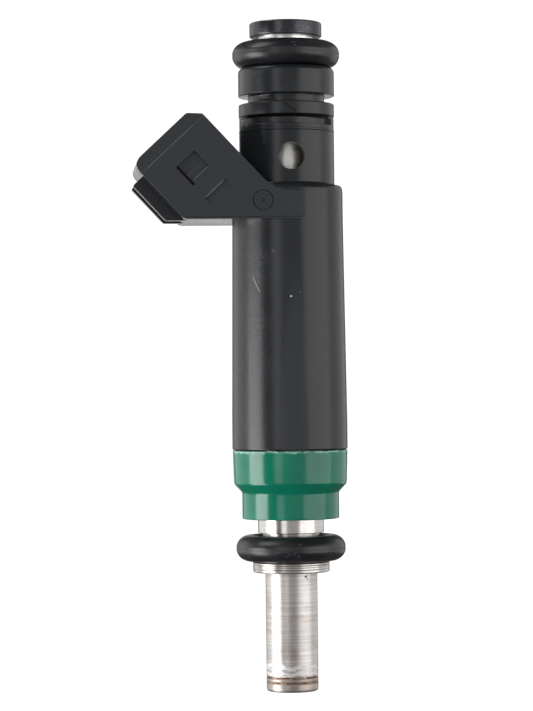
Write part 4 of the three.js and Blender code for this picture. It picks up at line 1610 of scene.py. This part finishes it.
@dataclass(frozen=True)
class InletEnd:
    """The cap, the inlet tube and the filter inside it."""

    cap_lip: float = 0.5
    cap_round: float = 0.22
    gauze_columns: int = 56
    gauze_rows: int = 34
    gauze_wire: float = 0.07

    def cap(self) -> None:
        """Turns the cap that is pressed over the tube's end."""
        span, tube = Span.of("inlet_cap"), Span.of("inlet_tube")
        inner = min(corner.r for corner in node_outline("inlet_cap", 0.0))
        corners = [
            Corner(tube.radius + FIT, span.bottom, 0.1),
            Corner(span.radius, span.bottom, self.cap_round),
            Corner(span.radius, span.top, self.cap_round),
            Corner(inner, span.top, 0.3),
            Corner(inner, span.top - self.cap_lip, 0.1),
            Corner(tube.radius + FIT, span.top - self.cap_lip),
        ]
        finish = CapFinish(span.bottom, span.top)
        fitted(turned("inlet_cap_ring", rounded(corners)), "inlet_cap", finish)

    def gauze(self) -> None:
        """Weaves the filter's gauze as a net of fine wire."""
        span = Span.of("filter_mesh")
        radius = span.radius - self.gauze_wire
        low, high = span.bottom + self.gauze_wire, span.top - self.gauze_wire
        shape = bmesh.new()
        rows = []
        for row in range(self.gauze_rows + 1):
            level = low + (high - low) * row / self.gauze_rows
            angles = (2 * math.pi * i / self.gauze_columns for i in range(self.gauze_columns))
            points = [Vector((radius * math.cos(a), radius * math.sin(a), level)) for a in angles]
            rows.append([shape.verts.new(point * MM) for point in points])
        for row, above in zip(rows, rows[1:]):
            for column in range(self.gauze_columns):
                beside = (column + 1) % self.gauze_columns
                shape.faces.new((row[column], row[beside], above[beside], above[column]))
        net = made_object("filter_gauze", shape)
        modifier = net.modifiers.new("wires", "WIREFRAME")
        modifier.thickness = self.gauze_wire * MM
        modifier.use_even_offset = False
        fitted(settled(net), "filter_mesh", Metal.GROUND_STEEL.value)

    def build(self) -> None:
        """Makes the cap, the tube and the filter's three pieces."""
        self.cap()
        bright = TurnedSteel(
            (0.98, 0.95, 0.91), roughness=0.26, rust_share=0.68, contrast=0.3, anisotropy=0.0
        )
        from_outline("inlet_tube", "turned", 0.12, bright, FACETS)
        from_outline("filter_collar", "turned", 0.1, Metal.BRASS.value)
        from_copy("filter_frame", "moulding", 0.06, NaturalNylon())
        self.gauze()


# ---- Terminals ----


@dataclass(frozen=True)
class Terminals:
    """The two tinned blades in the header's socket."""

    edge: float = 0.12

    def build(self) -> None:
        """Rounds the edges of both terminals and dresses them."""
        for node in ("terminal_front", "terminal_back"):
            blade = bevelled(welded_copy(f"{node}_blade", node), self.edge, 3)
            fitted(blade, node, Metal.TINNED.value)


# ---- Magnetic circuit ----


@dataclass(frozen=True)
class MagneticCircuit:
    """The can, washer, bobbin, winding and sleeve inside the jacket."""

    wire_pitch: float = 0.36

    def winding(self) -> None:
        """Winds the coil as rounded turns of wire."""
        span = Span.of("winding")
        inner = min(corner.r for corner in node_outline("winding", 0.0))
        turns = round(span.height / self.wire_pitch)
        pitch = span.height / turns
        half = pitch / 2
        points = [Vector((inner, span.bottom))]
        for turn in range(turns):
            for step in range(6):
                angle = -math.pi / 2 + math.pi * step / 5
                reach = half * math.cos(angle)
                level = span.bottom + pitch * turn + half + half * math.sin(angle)
                points.append(Vector((span.radius - half + reach, level)))
        points.append(Vector((inner, span.top)))
        clean = [p for i, p in enumerate(points) if (p - points[i - 1]).length > ON_AXIS]
        fitted(turned("winding_coil", clean, SMALL_FACETS), "winding", Enamelled())

    def build(self) -> None:
        """Makes the five pieces."""
        from_outline("magnet_can", "pressing", 0.12, Metal.MAGNET_STEEL.value)
        from_copy("flux_washer", "pressing", 0.08, Metal.MAGNET_STEEL.value)
        from_copy("bobbin", "moulding", 0.08, NaturalNylon(tone(96, 78, 54), 0.42))
        self.winding()
        from_outline("magnetic_sleeve", "turned", 0.08, Metal.GROUND_STEEL.value)


# ---- Needle, spring and adjusting tube ----


@dataclass(frozen=True)
class NeedleSet:
    """The moving needle with its armature and ball, the spring and the tube that sets it."""

    spring_radius: float = 1.3
    spring_wire: float = 0.235
    spring_turns: int = 7
    steps_per_turn: int = 40
    wire_sides: int = 16
    ball_rows: int = 48

    def spring(self) -> None:
        """Winds the return spring, with both ends of the wire capped."""
        span = Span.of("return_spring")
        low, high = span.bottom + self.spring_wire, span.top - self.spring_wire
        total = self.spring_turns * self.steps_per_turn
        shape = bmesh.new()
        rings = []
        for step in range(total + 1):
            share = step / total
            angle = 2 * math.pi * self.spring_turns * share
            out = Vector((math.cos(angle), math.sin(angle), 0))
            centre = out * self.spring_radius + Vector((0, 0, low + (high - low) * share))
            ring = []
            for side in range(self.wire_sides):
                turn = 2 * math.pi * side / self.wire_sides
                spoke = out * math.cos(turn) + Vector((0, 0, math.sin(turn)))
                ring.append(shape.verts.new((centre + spoke * self.spring_wire) * MM))
            rings.append(ring)
        for ring, after in zip(rings, rings[1:]):
            for side in range(self.wire_sides):
                beside = (side + 1) % self.wire_sides
                shape.faces.new((ring[side], ring[beside], after[beside], after[side]))
        shape.faces.new(rings[0])
        shape.faces.new(rings[-1])
        fitted(made_object("return_spring_coil", shape), "return_spring", Metal.SPRING_STEEL.value)

    def ball(self) -> None:
        """Turns the valve's ball."""
        span = Span.of("valve_ball")
        centre, half = (span.top + span.bottom) / 2, span.height / 2
        angles = (-math.pi / 2 + math.pi * row / self.ball_rows for row in range(1, self.ball_rows))
        points = [Vector((half * math.cos(a), centre + half * math.sin(a))) for a in angles]
        points = [Vector((0, span.bottom)), *points, Vector((0, span.top))]
        ball = turned("valve_ball_lapped", points, SMALL_FACETS)
        fitted(ball, "valve_ball", Metal.LAPPED_STEEL.value, Body.NEEDLE)

    def build(self) -> None:
        """Makes the moving needle's three pieces, the spring and the adjusting tube."""
        from_outline("armature", "turned", 0.1, Metal.MAGNET_STEEL.value, body=Body.NEEDLE)
        from_copy("needle_tube", "turned", 0.03, Metal.GROUND_STEEL.value, body=Body.NEEDLE)
        self.ball()
        self.spring()
        from_outline("adjusting_tube", "turned", 0.08, Metal.MAGNET_STEEL.value)


# ---- Studio ----


@dataclass(frozen=True)
class SoftPanel:
    """A soft light that stands round the object and faces it."""

    name: str
    azimuth: float  # degrees from the front, positive to the right
    half_angle: float
    glow: float
    elevation: float = 4.0
    half_height: float = 24.0
    distance: float = 600.0

    def place(self, aim: Vector) -> None:
        """Sets the panel up, facing a point in millimetres."""
        around, up = math.radians(self.azimuth), math.radians(self.elevation)
        out = Vector((math.sin(around) * math.cos(up), -math.cos(around) * math.cos(up), math.sin(up)))
        light = bpy.data.lights.new(self.name, "AREA")
        light.shape = "RECTANGLE"
        light.size = 2 * self.distance * math.tan(math.radians(self.half_angle)) * MM
        light.size_y = 2 * self.distance * math.tan(math.radians(self.half_height)) * MM
        light.energy = self.glow * math.pi * light.size * light.size_y
        thing = bpy.data.objects.new(self.name, light)
        bpy.context.scene.collection.objects.link(thing)
        thing.location = (aim + out * self.distance) * MM
        thing.rotation_euler = out.to_track_quat("Z", "Y").to_euler()
        thing.visible_camera = False


@dataclass(frozen=True)
class Studio:
    """A pale floor, soft side panels, a bright backdrop and the camera."""

    panels: tuple[SoftPanel, ...] = (
        SoftPanel("key_left", -78.5, 17.0, 6.6, -16.0, 20.0),
        SoftPanel("fill_left", -124.0, 28.0, 1.1),
        SoftPanel("strip_front", -29.0, 8.5, 1.5),
        SoftPanel("soft_front", 3.0, 23.0, 0.36),
        SoftPanel("top_left", -75.0, 13.0, 4.0, 50.0, 13.0),
        SoftPanel("key_right", 56.0, 30.0, 1.9, 0.0),
        SoftPanel("fill_right", 118.0, 30.0, 0.8),
    )
    camera_at: tuple[float, float, float] = (-33.2, -344.8, 41.2)
    look: tuple[float, float, float] = (0.087, 0.996, 0.0)
    lens: float = 130.0
    rise: float = 0.0415
    roll: float = -0.64
    floor_radius: float = 4000.0
    floor_drop: float = 600.0  # far enough down for the spray end to be seen from below
    dim: float = 0.10
    backdrop: float = 1.1
    behind: tuple[float, float] = (0.94, 0.99)  # where the bright patch starts and is full, along +Y

    def camera(self) -> None:
        """Makes the camera and hands it to the scene."""
        data = bpy.data.cameras.new("camera")
        data.lens = self.lens
        data.shift_y = self.rise
        data.clip_start = 0.01
        thing = bpy.data.objects.new("camera", data)
        bpy.context.scene.collection.objects.link(thing)
        thing.location = Vector(self.camera_at) * MM
        aim = Vector(self.look).to_track_quat("-Z", "Y")
        thing.rotation_euler = (aim @ Quaternion((0, 0, 1), math.radians(self.roll))).to_euler()
        bpy.context.scene.camera = thing

    def floor(self) -> None:
        """Lays the pale floor well below the tip."""
        shape = bmesh.new()
        bmesh.ops.create_circle(shape, cap_ends=True, segments=128, radius=self.floor_radius * MM)
        floor = made_object("floor", shape)
        floor.location = (0, 0, -self.floor_drop * MM)
        board = Board("floor_paper")
        cloud = board.mottle(0.004, 2)
        colour = board.blend(cloud, (0.90, 0.90, 0.90), (0.86, 0.86, 0.86))
        material = board.finish(
            Base_Color=colour, Roughness=0.9, Emission_Color=(1, 1, 1), Emission_Strength=0.95
        )
        floor.data.materials.append(material)
        floor.visible_glossy = False
        floor.visible_diffuse = False

    def surroundings(self) -> None:
        """Makes the room: white where the camera sees it, and bright behind the object only."""
        world = bpy.data.worlds.new("room")
        world.use_nodes = True
        room = Tree(world.node_tree)
        place = room.add("ShaderNodeTexCoord").outputs["Generated"]
        along = room.add("ShaderNodeSeparateXYZ", values={0: place}).outputs["Y"]
        start, full = self.behind
        ends = {"From Min": start, "From Max": full, "To Min": self.dim, "To Max": self.backdrop}
        glow = room.add(
            "ShaderNodeMapRange", {"interpolation_type": "SMOOTHSTEP"}, {"Value": along, **ends}
        )
        seen = Signal(room, room.add("ShaderNodeLightPath").outputs["Is Camera Ray"])
        background = room.tree.nodes["Background"]
        room.feed(background.inputs["Strength"], seen.most(Signal(room, glow.outputs["Result"])))
        room.feed(background.inputs["Color"], (1, 1, 1))
        bpy.context.scene.world = world

    def build(self) -> None:
        """Sets up the room, the lights, the floor and the camera."""
        bpy.context.scene.view_settings.view_transform = "Standard"
        self.surroundings()
        self.floor()
        low, high = CAD_BOX
        middle = Vector((0, 0, (low.z + high.z) / 2 / MM))
        for panel in self.panels:
            panel.place(middle)
        self.camera()


# ---- Assembly ----


def main() -> None:
    """Builds the studio, then every sub-assembly in order."""
    logging.basicConfig(level=logging.INFO, format="%(name)s %(message)s")
    upper_marks = ((0.4, 0.95, 0.7, 0.16, 10), (-4.3, 0.55, 1.5, 0.25, 0), (0.6, 0.6, 0.3, 0.2, 0))
    lower_marks = (
        (-1.1, -0.65, 0.9, 0.10, 40),
        (-0.2, -0.45, 0.7, 0.10, 35),
        (0.35, -0.75, 0.3, 0.22, 0),
        (0.5, 0.8, 0.3, 0.24, 0),
        (-2.6, -0.3, 0.6, 0.08, 20),
    )
    assemblies = (
        Studio(),
        Jacket(),
        SpacerRing(),
        SealRing("upper_o_ring", upper_marks, ((-12, 0.1, 0.05),)),
        SealRing("lower_o_ring", lower_marks, ((-9, 0.0, 0.3), (-22, -0.05, 0.12))),
        LowerSteel(),
        SprayEnd(),
        InletEnd(),
        Terminals(),
        MagneticCircuit(),
        NeedleSet(),
    )
    for assembly in assemblies:
        LOG.info("building %s", type(assembly).__name__)
        assembly.build()
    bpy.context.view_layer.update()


if __name__ == "__main__":
    main()
